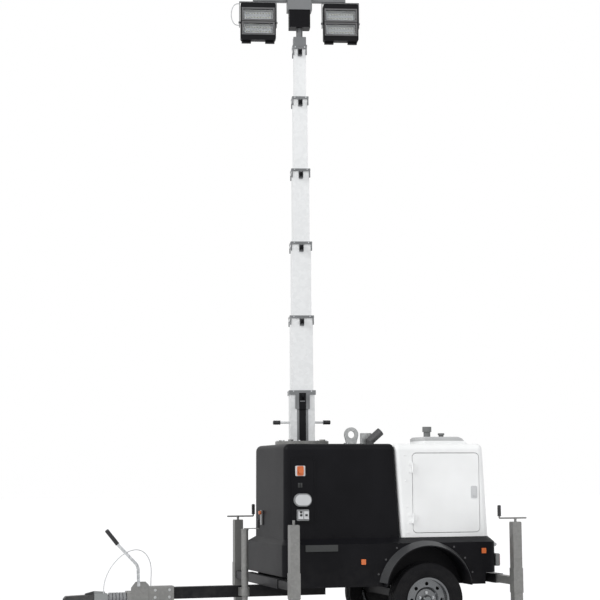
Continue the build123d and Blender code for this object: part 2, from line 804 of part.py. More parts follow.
# Mast head: cap plate, clamp block and neck, then the crossbar with its box and yokes
head_z = section_tops[-1]
clamp_height = 78
cap_plate = 12
neck_top_z = head_z + cap_plate + clamp_height + neck_height
last_size = stage_size(stage_count)
swing_radius = hypot(lamp_height / 2, lamp_depth / 2) + yoke_swing_gap
upper_box_bottom_z = neck_top_z + lower_box_height
crossbar_z = upper_box_bottom_z + 85 + crossbar_size / 2
yoke_inner = lamp_width + 2 * yoke_side_gap
yoke_arm = swing_radius + yoke_thickness + yoke_tail
lamp_places = (
    # name, place along x, level: -1 hangs below the crossbar, 1 stands above it
    ("front_lower", mast_x + lamp_spacing, -1),
    ("rear_lower", mast_x - lamp_spacing, -1),
    ("front_upper", mast_x + lamp_spacing, 1),
    ("rear_upper", mast_x - lamp_spacing, 1),
)
with BuildPart() as mast_head:
    with BuildSketch(Plane.XY.offset(head_z)):
        with Locations((mast_x, 0)):
            RectangleRounded(last_size + 24, last_size + 24, 8)
    extrude(amount=cap_plate)
    with BuildSketch(Plane.XY.offset(head_z + cap_plate)):
        with Locations((mast_x, 0)):
            RectangleRounded(last_size + 6, last_size, 10)
    extrude(amount=clamp_height)
    with BuildSketch(Plane.XY.offset(head_z + cap_plate + clamp_height)):
        with Locations((mast_x, 0)):
            Circle(neck_radius)
    extrude(amount=neck_height)
    with BuildSketch(Plane.YZ.offset(mast_x - crossbar_half_length)):
        with Locations((0, crossbar_z)):
            RectangleRounded(crossbar_size, crossbar_size, 6)
    extrude(amount=2 * crossbar_half_length)
    with BuildSketch(Plane.XY.offset(upper_box_bottom_z)):
        with Locations((mast_x, 0)):
            RectangleRounded(upper_box_width, upper_box_depth, 10)
    extrude(amount=crossbar_z + crossbar_size / 2 + upper_box_rise - upper_box_bottom_z)
    for lamp_name, lamp_x, level in lamp_places:
        bar_face_z = crossbar_z + level * crossbar_size / 2
        pivot_z = bar_face_z + level * (yoke_thickness + swing_radius)
        with BuildSketch(Plane.XZ.offset(-yoke_width / 2)):
            with Locations((lamp_x, bar_face_z + level * yoke_thickness / 2)):
                Rectangle(yoke_inner + 2 * yoke_thickness, yoke_thickness)
            with Locations((lamp_x, bar_face_z + level * yoke_arm / 2)):
                with GridLocations(yoke_inner + yoke_thickness, 0, 2, 1):
                    Rectangle(yoke_thickness, yoke_arm)
        extrude(amount=yoke_width)
        for arm_x in (lamp_x - yoke_inner / 2 - yoke_thickness - 1, lamp_x + yoke_inner / 2 - 1):
            with BuildSketch(Plane.YZ.offset(arm_x)):
                with Locations((0, pivot_z)):
                    Circle(lamp_pivot_radius + running_gap)
            extrude(amount=yoke_thickness + 2, mode=Mode.SUBTRACT)
write_turned(mast_head.part, "mast_head")

with BuildPart() as junction_box:
    with BuildSketch(Plane.XY.offset(neck_top_z)):
        with Locations((mast_x, 0)):
            RectangleRounded(lower_box_width, lower_box_depth, 12)
    extrude(amount=lower_box_height)
write_turned(junction_box.part, "junction_box")

# Lamps: finned floodlight housing with two glass panes, tilting on its side pivots
pane_width = lamp_width - 2 * lamp_border
pane_height = 94
pane_bar = 38
cavity_depth = 62
fin_count = 11
fin_depth = 34
fin_thickness = 5
fin_height = lamp_height - 40
fin_row = lamp_width - 50
body_back_y = -lamp_depth / 2 + fin_depth
for lamp_name, lamp_x, level in lamp_places:
    pivot_z = crossbar_z + level * (crossbar_size / 2 + yoke_thickness + swing_radius)
    with BuildPart() as lamp:
        with BuildSketch(Plane.XZ.offset(-lamp_depth / 2)):
            with Locations((lamp_x, pivot_z)):
                RectangleRounded(lamp_width, lamp_height, 18)
        extrude(amount=lamp_depth - fin_depth)
        with BuildSketch(Plane.XZ.offset(-body_back_y)):
            with Locations((lamp_x, pivot_z)):
                with GridLocations(fin_row / (fin_count - 1), 0, fin_count, 1):
                    Rectangle(fin_thickness, fin_height)
        extrude(amount=fin_depth)
        with BuildSketch(Plane.XZ.offset(-lamp_depth / 2)):
            with Locations((lamp_x, pivot_z)):
                with GridLocations(0, pane_height + pane_bar, 1, 2):
                    Rectangle(pane_width, pane_height)
        extrude(amount=cavity_depth, mode=Mode.SUBTRACT)
        with BuildSketch(Plane.YZ.offset(lamp_x - yoke_inner / 2 - yoke_thickness - 6)):
            with Locations((0, pivot_z)):
                Circle(lamp_pivot_radius)
        extrude(amount=yoke_inner + 2 * yoke_thickness + 12)
        if level < 0:
            with BuildSketch(Plane.XY.offset(pivot_z - lamp_height / 2 - lamp_foot_height)):
                with Locations((lamp_x, 0)):
                    with GridLocations(2 * lamp_width / 3, 0, 2, 1):
                        RectangleRounded(lamp_foot_length, lamp_foot_width, 6)
            extrude(amount=lamp_foot_height + 1)
    write_turned(lamp.part, f"lamp_{lamp_name}")
    with BuildPart() as glass:
        with BuildSketch(Plane.XZ.offset(-(lamp_depth / 2 - glass_setback))):
            with Locations((lamp_x, pivot_z)):
                with GridLocations(0, pane_height + pane_bar, 1, 2):
                    Rectangle(pane_width, pane_height)
        extrude(amount=glass_thickness)
    write_turned(glass.part, f"lamp_glass_{lamp_name}")

# Drawbar: box-section beam under the cross members
with BuildPart() as drawbar:
    with BuildSketch(Plane.YZ.offset(drawbar_rear_x)):
        with Locations((0, drawbar_mid_z)):
            hollow(drawbar_width, drawbar_height, drawbar_wall)
    extrude(amount=drawbar_front_x - drawbar_rear_x)
write(drawbar.part, "drawbar")

# Overrun brake housing: clamp round the drawbar's end, then the housing with its lever bracket
clamp_wall = 12
flange_thickness = 14
housing_length = 205
housing_width = 96
housing_height = 108
bracket_top_z = 505
bracket_thickness = 8
housing_front_x = drawbar_front_x + housing_length
with BuildPart() as overrun_housing:
    with BuildSketch(Plane.YZ.offset(drawbar_front_x - clamp_length)):
        with Locations((0, drawbar_mid_z)):
            RectangleRounded(drawbar_width + 2 * clamp_wall, drawbar_height + 2 * clamp_wall, 10)
            Rectangle(drawbar_width + 2 * slide_gap, drawbar_height + 2 * slide_gap, mode=Mode.SUBTRACT)
    extrude(amount=clamp_length)
    with BuildSketch(Plane.YZ.offset(drawbar_front_x + slide_gap)):
        with Locations((0, coupling_z)):
            RectangleRounded(housing_width, housing_height, 16)
    extrude(amount=housing_length - slide_gap)
    with BuildSketch(Plane.YZ.offset(drawbar_front_x)):
        with Locations((0, drawbar_mid_z)):
            RectangleRounded(drawbar_width + 2 * clamp_wall, drawbar_height + 2 * clamp_wall, 10)
    extrude(amount=flange_thickness)
    with BuildSketch(Plane.XZ.offset(bracket_thickness - housing_width / 2)):
        with BuildLine():
            Polyline(
                (drawbar_front_x + flange_thickness, coupling_z),
                (drawbar_front_x + flange_thickness, bracket_top_z - 30),
                (drawbar_front_x + 44, bracket_top_z),
                (drawbar_front_x + 130, bracket_top_z),
                (drawbar_front_x + 170, bracket_top_z - 50),
                (drawbar_front_x + 170, coupling_z),
                close=True,
            )
        make_face()
    extrude(amount=-bracket_thickness)
    with BuildSketch(Plane.XY.offset(coupling_z + housing_height / 2 - 4)):
        with Locations((drawbar_front_x + 95, 0)):
            RectangleRounded(120, 60, 8)
    extrude(amount=26)
write(overrun_housing.part, "overrun_housing")

# Gaiter: rubber bellows on the coupling's sliding shaft
bellows_count = 5
gaiter_length = 150
gaiter_root = coupling_shaft_radius + 5
gaiter_crest = 44
bellows_pitch = gaiter_length / bellows_count
with BuildPart() as gaiter:
    with BuildSketch(Plane.XZ):
        with BuildLine():
            crest_line = []
            for fold in range(bellows_count):
                fold_x = housing_front_x + fold * bellows_pitch
                crest_line.append((fold_x, coupling_z + gaiter_root))
                crest_line.append((fold_x + 0.25 * bellows_pitch, coupling_z + gaiter_root))
                crest_line.append((fold_x + 0.25 * bellows_pitch, coupling_z + gaiter_crest))
                crest_line.append((fold_x + bellows_pitch, coupling_z + gaiter_crest))
            bore_z = coupling_z + coupling_shaft_radius + slide_gap
            bore_line = [(housing_front_x + gaiter_length, bore_z), (housing_front_x, bore_z)]
            Polyline(*crest_line, *bore_line, close=True)
        make_face()
    revolve(axis=Axis((0, 0, coupling_z), (1, 0, 0)))
write(gaiter.part, "gaiter")

# Coupling head: shaft, cast body that narrows to a round nose, ball socket and hand lever
head_rear_x = housing_front_x + gaiter_length + 15
head_height = 78
head_rear_width = 70
nose_top_z = coupling_z + head_height / 2
with BuildPart() as coupling_head:
    with BuildSketch(Plane.YZ.offset(housing_front_x + slide_gap)):
        with Locations((0, coupling_z)):
            Circle(coupling_shaft_radius)
    extrude(amount=head_rear_x + 20 - housing_front_x)
    with BuildSketch(Plane.XY.offset(coupling_z - head_height / 2)):
        with Locations((ball_x, 0)):
            Circle(nose_round)
        with Locations((head_rear_x + 40, 0)):
            Rectangle(80, head_rear_width)
        make_hull()
    extrude(amount=head_height)
    with BuildSketch(Plane.XZ.offset(-nose_round - 1)):
        with BuildLine():
            Polyline(
                (head_rear_x + 70, nose_top_z + 1),
                (half_length + 1, nose_top_z + 1),
                (half_length + 1, nose_top_z - 40),
                (ball_x + 20, nose_top_z - 16),
                (head_rear_x + 150, nose_top_z - 8),
                close=True,
            )
        make_face()
    extrude(amount=2 * nose_round + 2, mode=Mode.SUBTRACT)
    with Locations((ball_x, 0, coupling_z - head_height / 2 + 12)):
        Sphere(ball_radius, mode=Mode.SUBTRACT)
    with BuildSketch(Plane.XY.offset(coupling_z - head_height / 2)):
        with Locations((ball_x, 0)):
            Circle(ball_radius)
    extrude(amount=12, mode=Mode.SUBTRACT)
    with BuildSketch(Plane.XZ.offset(-14)):
        with BuildLine():
            Polyline(
                (head_rear_x + 20, nose_top_z - 2),
                (head_rear_x + 20, nose_top_z + 14),
                (head_rear_x + 110, nose_top_z + 22),
                (head_rear_x + 190, nose_top_z + 2),
                (head_rear_x + 190, nose_top_z - 14),
                close=True,
            )
        make_face()
    extrude(amount=28)
write(coupling_head.part, "coupling_head")

# Handbrake lever: flat curved lever with a round grip, on the housing's bracket
lever_y = housing_width / 2 + bracket_thickness / 2
lever_foot = (drawbar_front_x + 105, bracket_top_z - 40)
lever_knee = (drawbar_front_x + 112, 640)
lever_top = (drawbar_front_x + 280, 815)
grip_end = (drawbar_front_x + 377, 935)
lever_thickness = 8
lever_width = 26
lever_bend = 90
lever_grip_radius = 16
with BuildPart() as handbrake_lever:
    with BuildSketch(Plane.XZ.offset(-housing_width / 2 - lever_thickness)):
        with BuildLine():
            FilletPolyline(lever_foot, lever_knee, lever_top, grip_end, radius=lever_bend)
        trace(line_width=lever_width)
    extrude(amount=lever_thickness)
    grip_path = Line(
        (lever_top[0], lever_y, lever_top[1]),
        (grip_end[0], lever_y, grip_end[1]),
        mode=Mode.PRIVATE,
    )
    with BuildSketch(Plane(grip_path @ 0.1, z_dir=grip_path % 0)):
        Circle(lever_grip_radius)
    extrude(amount=grip_path.length)
write(handbrake_lever.part, "handbrake_lever")

# Jockey wheel: clamped outer tube and crank, sliding leg, swivelling fork, wheel
jockey_leg_radius = jockey_outer_radius - jockey_wall - slide_gap
jockey_leg_bottom_z = 234
jockey_leg_top_z = jockey_top_z - 120
jockey_crown_z = 222
jockey_pin_radius = 8
jockey_axle_x = jockey_x - jockey_trail
fork_plate = 5
fork_inner = jockey_wheel_width / 2 + 4
with BuildPart() as jockey_tube:
    with BuildSketch(Plane.XY.offset(jockey_bottom_z)):
        with Locations((jockey_x, jockey_y)):
            Circle(jockey_outer_radius)
            Circle(jockey_outer_radius - jockey_wall, mode=Mode.SUBTRACT)
    extrude(amount=jockey_top_z - jockey_bottom_z)
    with BuildSketch(Plane.XY.offset(jockey_top_z)):
        with Locations((jockey_x, jockey_y)):
            Circle(jockey_outer_radius + 3)
    extrude(amount=jockey_cap_height)
    clamp_reach = jockey_y - drawbar_width / 2
    with BuildSketch(Plane.XY.offset(drawbar_mid_z - 35)):
        with Locations((jockey_x, drawbar_width / 2 + clamp_reach / 2)):
            Rectangle(84, clamp_reach)
        with Locations((jockey_x, jockey_y)):
            Circle(jockey_outer_radius + 10)
            Circle(jockey_outer_radius - 1, mode=Mode.SUBTRACT)
    extrude(amount=70)
    with BuildSketch(Plane.XY.offset(jockey_top_z + jockey_cap_height)):
        with Locations((jockey_x, jockey_y)):
            Circle(10)
        with Locations((jockey_x - jockey_crank_reach / 2, jockey_y)):
            Rectangle(jockey_crank_reach, 18)
    extrude(amount=8)
    with BuildSketch(Plane.XY.offset(jockey_top_z + jockey_cap_height)):
        with Locations((jockey_x - jockey_crank_reach, jockey_y)):
            Circle(jockey_handle_radius)
    extrude(amount=jockey_handle_height)
write(jockey_tube.part, "jockey_tube")

with BuildPart() as jockey_leg:
    with BuildSketch(Plane.XY.offset(jockey_leg_bottom_z)):
        with Locations((jockey_x, jockey_y)):
            Circle(jockey_leg_radius)
    extrude(amount=jockey_leg_top_z - jockey_leg_bottom_z)
write(jockey_leg.part, "jockey_leg")

with BuildPart() as jockey_fork:
    with BuildSketch(Plane.XY.offset(jockey_crown_z)):
        with Locations((jockey_x, jockey_y)):
            RectangleRounded(56, 2 * (fork_inner + fork_plate), 6)
    extrude(amount=jockey_leg_bottom_z - running_gap - jockey_crown_z)
    for side in (1, -1):
        with BuildSketch(Plane.XZ.offset(-jockey_y - side * (fork_inner + fork_plate / 2) - fork_plate / 2)):
            with Locations((jockey_axle_x, jockey_wheel_radius)):
                Circle(18)
            with Locations((jockey_x, jockey_crown_z + 4)):
                Rectangle(50, 8)
            make_hull()
        extrude(amount=fork_plate)
    with BuildSketch(Plane.XZ.offset(-jockey_y - fork_inner - fork_plate - 4)):
        with Locations((jockey_axle_x, jockey_wheel_radius)):
            Circle(jockey_pin_radius)
    extrude(amount=2 * (fork_inner + fork_plate + 4))
write(jockey_fork.part, "jockey_fork")

with BuildPart() as jockey_wheel:
    with BuildSketch(Plane((jockey_axle_x, jockey_y, jockey_wheel_radius), x_dir=(0, 1, 0), z_dir=(1, 0, 0))):
        with BuildLine():
            half_jockey = jockey_wheel_width / 2
            Polyline(
                (-half_jockey, jockey_pin_radius + running_gap),
                (-half_jockey, 28),
                (-half_jockey + 14, 28),
                (-half_jockey + 14, 62),
                (-half_jockey + 2, 62),
                (-half_jockey + 2, jockey_wheel_radius),
                (half_jockey - 2, jockey_wheel_radius),
                (half_jockey - 2, 62),
                (half_jockey - 14, 62),
                (half_jockey - 14, 28),
                (half_jockey, 28),
                (half_jockey, jockey_pin_radius + running_gap),
                close=True,
            )
        make_face()
    revolve(axis=Axis((jockey_axle_x, jockey_y, jockey_wheel_radius), (0, 1, 0)))
write(jockey_wheel.part, "jockey_wheel")

# Lifting eye: thick ring on a foot, with its tail plate
tail_plate_x = lift_x - 140
lift_foot_x = lift_x - 60
lift_foot_width = 90
lift_foot_thickness = 10
tail_plate_length = 90
tail_plate_width = 60
tail_plate_height = 98
with BuildPart() as lifting_eye:
    with BuildSketch(Plane.XY.offset(canopy_top_z)):
        with Locations((lift_foot_x, 0)):
            Rectangle(lift_foot_length, lift_foot_width)
    extrude(amount=lift_foot_thickness)
    with BuildSketch(Plane.XZ.offset(-lift_ring_thickness / 2)):
        with Locations((lift_x, lift_ring_z)):
            Circle(lift_ring_outer)
        with Locations((lift_x, canopy_top_z + 12)):
            Rectangle(90, 12)
        make_hull()
        with Locations((lift_x, lift_ring_z)):
            Circle(lift_ring_hole, mode=Mode.SUBTRACT)
    extrude(amount=lift_ring_thickness)
    with BuildSketch(Plane.XY.offset(canopy_top_z + 8)):
        with Locations((tail_plate_x, 0)):
            Rectangle(tail_plate_length, tail_plate_width)
    extrude(amount=tail_plate_height)
write(lifting_eye.part, "lifting_eye")

# Exhaust: bent outlet pipe through the roof
exhaust_bend_z = canopy_top_z + 30
exhaust_end = (exhaust_x - exhaust_lean, exhaust_y, canopy_top_z + 118)
with BuildPart() as exhaust:
    with BuildLine():
        exhaust_path = Polyline(
            (exhaust_x, exhaust_y, canopy_top_z),
            (exhaust_x, exhaust_y, exhaust_bend_z),
            exhaust_end,
        )
    with BuildSketch(Plane.XY.offset(canopy_top_z)):
        with Locations((exhaust_x, exhaust_y)):
            Circle(exhaust_radius)
            Circle(exhaust_radius - exhaust_wall, mode=Mode.SUBTRACT)
    sweep(path=exhaust_path, transition=Transition.RIGHT)
    with BuildSketch(Plane.XY.offset(canopy_top_z)):
        with Locations((exhaust_x, exhaust_y)):
            Circle(exhaust_radius + exhaust_flange)
            Circle(exhaust_radius - exhaust_wall, mode=Mode.SUBTRACT)
    extrude(amount=5)
write(exhaust.part, "exhaust")

# Roof pod: low air-outlet cowl with a filler cap and a small vent cap
pod_round = 16
with BuildPart() as roof_pod:
    with BuildSketch(Plane.XZ.offset(-pod_half_width)):
        with BuildLine():
            Polyline(
                (pod_front_x, canopy_top_z),
                (pod_front_x, canopy_top_z + pod_height),
                (pod_rear_x + 40, canopy_top_z + pod_height),
                (pod_rear_x - 35, canopy_top_z),
                close=True,
            )
        make_face()
    extrude(amount=2 * pod_half_width)
    chamfer(roof_pod.faces().sort_by(Axis.Z)[-1].edges(), pod_round)
write(roof_pod.part, "roof_pod")

cap_places = (
    # distance behind the pod's front, radius, height
    (95, 42, 95),
    (235, 30, 36),
)
pod_top_z = canopy_top_z + pod_height
with BuildPart() as roof_caps:
    for behind, cap_radius, cap_height in cap_places:
        with BuildSketch(Plane.XY.offset(pod_top_z)):
            with Locations((pod_front_x - behind, 0)):
                Circle(0.75 * cap_radius)
        extrude(amount=cap_height)
        with BuildSketch(Plane.XY.offset(pod_top_z + 0.5 * cap_height)):
            with Locations((pod_front_x - behind, 0)):
                Circle(cap_radius)
        extrude(amount=0.5 * cap_height)
write(roof_caps.part, "roof_caps")

# Control panel on the left side, with its stop button, cover and sockets
panel_front_x = canopy_front_x - 58
panel_rear_x = panel_front_x - 220
panel_bottom_z = 1000
panel_top_z = 1555
panel_thickness = 8
panel_lip = 14
panel_recess = 3
panel_mid_x = (panel_front_x + panel_rear_x) / 2
panel_face_y = canopy_half_width + panel_thickness
control_x = panel_front_x - 80
with BuildPart() as control_panel:
    with BuildSketch(Plane.XZ.offset(-panel_face_y)):
        with Locations((panel_mid_x, (panel_bottom_z + panel_top_z) / 2)):
            RectangleRounded(panel_front_x - panel_rear_x, panel_top_z - panel_bottom_z, 18)
    extrude(amount=panel_thickness)
    with BuildSketch(Plane.XZ.offset(-panel_face_y)):
        with Locations((panel_mid_x, (panel_bottom_z + panel_top_z) / 2)):
            RectangleRounded(
                panel_front_x - panel_rear_x - 2 * panel_lip, panel_top_z - panel_bottom_z - 2 * panel_lip, 10
            )
    extrude(amount=panel_recess, mode=Mode.SUBTRACT)
write(control_panel.part, "control_panel")

panel_floor_y = panel_face_y - panel_recess
stop_z = 1445
stop_plate = 88
stop_plate_thickness = 10
stop_stem_radius = 14
stop_stem_length = 16
stop_button_radius = 24
stop_button_thickness = 16
with BuildPart() as emergency_stop:
    with BuildSketch(Plane.XZ.offset(-panel_floor_y)):
        with Locations((control_x, stop_z)):
            RectangleRounded(stop_plate, stop_plate, 8)
    extrude(amount=-stop_plate_thickness)
    with BuildSketch(Plane.XZ.offset(-panel_floor_y - stop_plate_thickness)):
        with Locations((control_x, stop_z)):
            Circle(stop_stem_radius)
    extrude(amount=-stop_stem_length)
    with BuildSketch(Plane.XZ.offset(-panel_floor_y - 22)):
        with Locations((control_x, stop_z)):
            Circle(stop_button_radius)
    extrude(amount=-stop_button_thickness)
write(emergency_stop.part, "emergency_stop")

cover_z = 1195
cover_steps = (
    # length, height, stand-off, thickness
    (160, 112, 0, 16),
    (140, 92, 16, 10),
)
socket_z = 1066
socket_width = 106
socket_height = 96
socket_thickness = 22
fitting_x = control_x - 20
with BuildPart() as panel_fittings:
    for step_length, step_height, stand_off, step_thickness in cover_steps:
        with BuildSketch(Plane.XZ.offset(-panel_floor_y - stand_off)):
            with Locations((fitting_x, cover_z)):
                SlotOverall(step_length, step_height)
        extrude(amount=-step_thickness)
    with BuildSketch(Plane.XZ.offset(-panel_floor_y)):
        with Locations((fitting_x, socket_z)):
            RectangleRounded(socket_width, socket_height, 8)
    extrude(amount=-socket_thickness)
    with BuildSketch(Plane.XZ.offset(-panel_floor_y - socket_thickness)):
        with Locations((fitting_x, socket_z)):
            with GridLocations(48, 0, 2, 1):
                Rectangle(42, 66)
    extrude(amount=-16)
write(panel_fittings.part, "panel_fittings")

# Battery isolator on the front face
isolator_y = -230
isolator_z = 1030
isolator_thickness = 14
isolator_knob_radius = 16
isolator_knob_length = 18
with BuildPart() as battery_isolator:
    with BuildSketch(Plane.YZ.offset(canopy_front_x)):
        with Locations((isolator_y, isolator_z)):
            RectangleRounded(46, 130, 8)
    extrude(amount=isolator_thickness)
    with BuildSketch(Plane.YZ.offset(canopy_front_x + isolator_thickness)):
        with Locations((isolator_y, isolator_z + 44)):
            Circle(isolator_knob_radius)
    extrude(amount=isolator_knob_length)
write(battery_isolator.part, "battery_isolator")

# Grey fittings on the skirt: a strip on each side and the grab rail across the rear
strip_length = 290
strip_height = 56
strip_thickness = 8
strip_mid_x = skirt_front_x - 340
strip_mid_z = 785
grab_z = 785
grab_stand_off = 44
grab_radius = 14
grab_half_length = skirt_half_width - 125
with BuildPart() as grab_rails:
    for side in (1, -1):
        with BuildSketch(Plane.XZ.offset(-side * skirt_half_width)):
            with Locations((strip_mid_x, strip_mid_z)):
                RectangleRounded(strip_length, strip_height, 6)
        extrude(amount=-side * strip_thickness)
    with BuildSketch(Plane.YZ.offset(skirt_rear_x)):
        with Locations((0, grab_z)):
            with GridLocations(2 * grab_half_length - 30, 0, 2, 1):
                Rectangle(30, 36)
    extrude(amount=-grab_stand_off)
    with BuildSketch(Plane.XZ.offset(-grab_half_length)):
        with Locations((skirt_rear_x - grab_stand_off, grab_z)):
            Circle(grab_radius)
    extrude(amount=2 * grab_half_length)
write(grab_rails.part, "grab_rails")

# Orange side markers and the tail lamps
marker_places = (
    # x, z
    (axle_x + arch_radius + 175, 662),
    (skirt_rear_x + 123, 738),
)
with BuildPart() as side_markers:
    for marker_x, marker_z in marker_places:
        for side in (1, -1):
            with BuildSketch(Plane.XZ.offset(-side * skirt_half_width)):
                with Locations((marker_x, marker_z)):
                    RectangleRounded(40, 46, 6)
            extrude(amount=-side * 12)
write(side_markers.part, "side_markers")

tail_lamp_y = skirt_half_width - 100
tail_lamp_z = 655
tail_lamp_width = 170
tail_lamp_height = 108
tail_lamp_depth = 36
with BuildPart() as tail_lamps:
    with BuildSketch(Plane.YZ.offset(skirt_rear_x)):
        with Locations((tail_lamp_y, tail_lamp_z), (-tail_lamp_y, tail_lamp_z)):
            RectangleRounded(tail_lamp_width, tail_lamp_height, 10)
    extrude(amount=-tail_lamp_depth)
write(tail_lamps.part, "tail_lamps")


def bend_radii(points):
    """Radius for each corner of a cord's route, as large as its two runs allow."""
    radii = []
    corners = zip(points, points[1:], points[2:])
    for before, corner, after in corners:
        run_in = Vector(*corner) - Vector(*before)
        run_out = Vector(*after) - Vector(*corner)
        half_turn = radians(run_in.get_angle(run_out) / 2)
        radii.append(0.45 * min(run_in.length, run_out.length) / tan(half_turn))
    return radii


# Free cords: the breakaway cable over the coupling and the lead beside the front lamp
head_top_z = coupling_z + head_height / 2
clamp_top_z = drawbar_mid_z + drawbar_height / 2 + clamp_wall
lead_start_x = mast_x + lamp_spacing + yoke_inner / 2 + yoke_thickness
lead_top_z = crossbar_z - crossbar_size / 2 - 18
cords = (
    # name, diameter, route
    (
        "breakaway_cable",
        8,
        (
            (drawbar_front_x + 405, 24, head_top_z),
            (drawbar_front_x + 405, 24, 468),
            (drawbar_front_x + 387, 24, 545),
            (drawbar_front_x + 348, 27, 628),
            (drawbar_front_x + 283, 31, 706),
            (drawbar_front_x + 203, 34, 762),
            (drawbar_front_x + 117, 32, 783),
            (drawbar_front_x + 45, 27, 752),
            (drawbar_front_x + 1, 20, 682),
            (drawbar_front_x - 14, 13, 600),
            (drawbar_front_x - 10, 7, 524),
            (drawbar_front_x - 10, 7, clamp_top_z),
        ),
    ),
    (
        "lamp_lead",
        9,
        (
            (lead_start_x, 0, lead_top_z),
            (lead_start_x + 27, 0, lead_top_z),
            (lead_start_x + 53, 3, lead_top_z - 20),
            (lead_start_x + 69, 5, lead_top_z - 57),
            (lead_start_x + 76, 6, lead_top_z - 103),
            (lead_start_x + 71, 6, lead_top_z - 148),
            (lead_start_x + 56, 4, lead_top_z - 184),
            (lead_start_x + 28, 0, lead_top_z - 206),
            (lead_start_x, 0, lead_top_z - 206),
        ),
    ),
)
for cord_name, cord_diameter, route in cords:
    radii = bend_radii(route)
    with BuildPart() as cord:
        with BuildLine():
            cord_line = FilletPolyline(*route, radius=radii)
        with BuildSketch(Plane(cord_line @ 0, z_dir=cord_line % 0)):
            RegularPolygon(cord_diameter / 2, 8)
        sweep(path=cord_line)
    if cord_name == "lamp_lead":
        write_turned(cord.part, cord_name)
    else:
        write(cord.part, cord_name)
    print(cord_name, "length", round(cord_line.length), "radii", [round(radius) for radius in radii])
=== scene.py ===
# %% [markdown]
# # Dressing a mobile light tower
# A light tower is a small road trailer. Its canopy hides a generator, and a mast of nested square
# tubes lifts four floodlights. The engineering model already holds every carrying piece at its real
# size. This lesson adds what makes it look real: the finishes, the tyre tread, the lamp optics, the
# rubber grips, the screws and the two free cords. All lengths are in metres, +X points to the tow
# coupling, +Y to the machine's left and +Z up.

# %% Load the frame
import json
import math

import bmesh
import bpy
from mathutils import Matrix, Vector


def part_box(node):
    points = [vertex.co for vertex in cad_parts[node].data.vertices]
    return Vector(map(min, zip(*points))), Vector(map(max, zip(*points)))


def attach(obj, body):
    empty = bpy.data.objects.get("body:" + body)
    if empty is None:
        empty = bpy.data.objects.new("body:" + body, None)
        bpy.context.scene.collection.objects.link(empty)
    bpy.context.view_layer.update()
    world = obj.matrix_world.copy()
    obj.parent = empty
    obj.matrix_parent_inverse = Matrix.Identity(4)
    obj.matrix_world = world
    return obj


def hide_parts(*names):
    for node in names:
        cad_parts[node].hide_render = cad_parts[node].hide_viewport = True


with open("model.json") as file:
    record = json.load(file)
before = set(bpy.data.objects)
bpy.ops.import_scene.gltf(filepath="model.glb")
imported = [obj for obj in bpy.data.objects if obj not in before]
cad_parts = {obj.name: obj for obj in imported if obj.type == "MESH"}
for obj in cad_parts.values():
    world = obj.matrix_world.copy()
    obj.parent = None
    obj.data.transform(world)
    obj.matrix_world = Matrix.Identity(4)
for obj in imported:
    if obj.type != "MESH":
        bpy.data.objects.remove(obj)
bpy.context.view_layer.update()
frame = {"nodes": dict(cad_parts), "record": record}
nodes = frame["nodes"]
slot_of_node = {entry["node"]: entry["material_slot"] for entry in frame["record"]["subparts"]}

# %% [markdown]
# ## Camera
# The photograph was taken from the machine's left, a little towards its front, with a long lens and
# the camera tilted slightly upwards. A camera can be aimed by eye. Here its place, its angles and
# its focal length come from fitting known points of the model, such as the jack tops, the wheel and
# the mast collars, to where they lie in the photograph, so that the two pictures can be compared.

# %% Camera
image_size = 600
focal_length_px = 1560.0
sensor_width = 36.0
view_reach = 300.0
camera_place = Vector((3.875, 13.493, 1.398))
camera_turn = math.radians(16.73)
camera_pitch = math.radians(6.45)
camera_roll = math.radians(-0.35)


def new_object(name, data):
    """Object at the origin, put into the scene."""
    made = bpy.data.objects.new(name, data)
    bpy.context.scene.collection.objects.link(made)
    return made


def make_camera():
    """Camera that looks back across the trailer, from the fitted place and angles."""
    level, rise = math.cos(camera_pitch), math.sin(camera_pitch)
    forward = Vector((-math.sin(camera_turn) * level, -math.cos(camera_turn) * level, rise))
    level_right = forward.cross(Vector((0, 0, 1))).normalized()
    level_up = level_right.cross(forward)
    right = level_right * math.cos(camera_roll) + level_up * math.sin(camera_roll)
    up = level_up * math.cos(camera_roll) - level_right * math.sin(camera_roll)
    data = bpy.data.cameras.new("photo_camera")
    data.sensor_width = sensor_width
    data.lens = focal_length_px * sensor_width / image_size
    data.clip_end = view_reach
    camera = new_object("photo_camera", data)
    turned = Matrix((right, up, -forward)).transposed().to_4x4()
    camera.matrix_world = Matrix.Translation(camera_place) @ turned
    bpy.context.scene.camera = camera
    return camera


camera = make_camera()
print("lens in millimetres:", round(camera.data.lens, 1))

# %% [markdown]
# ## Small tools for node trees
# Materials, shader groups and geometry trees are built from the same few steps: add a node, give
# its sockets plain values, connect it. They could be drawn by hand in the editor, but in a script
# these helpers keep each tree short enough to read as a recipe.

# %% Node tree tools
def set_values(node, values):
    """Gives the node's input sockets their plain values."""
    for socket, value in values.items():
        node.inputs[socket].default_value = value


def add_node(tree, kind, values=None, **settings):
    """New node in a tree, with its settings and the plain values of its input sockets."""
    node = tree.nodes.new(kind)
    for setting, value in settings.items():
        setattr(node, setting, value)
    set_values(node, values or {})
    return node


def join_sockets(tree, *rows):
    """Connects sockets. Each row is (from node, its output, to node, its input)."""
    for source, output, target, entry in rows:
        tree.links.new(source.outputs[output], target.inputs[entry])


def new_group(name, values, results):
    """Empty shader group with number inputs (name: value) and number outputs (names)."""
    tree = bpy.data.node_groups.new(name, "ShaderNodeTree")
    for socket_name, value in values.items():
        socket = tree.interface.new_socket(socket_name, in_out="INPUT", socket_type="NodeSocketFloat")
        socket.default_value = value
    for socket_name in results:
        tree.interface.new_socket(socket_name, in_out="OUTPUT", socket_type="NodeSocketFloat")
    print("shader group:", name, "with", list(values))
    return tree, tree.nodes.new("NodeGroupInput"), tree.nodes.new("NodeGroupOutput")


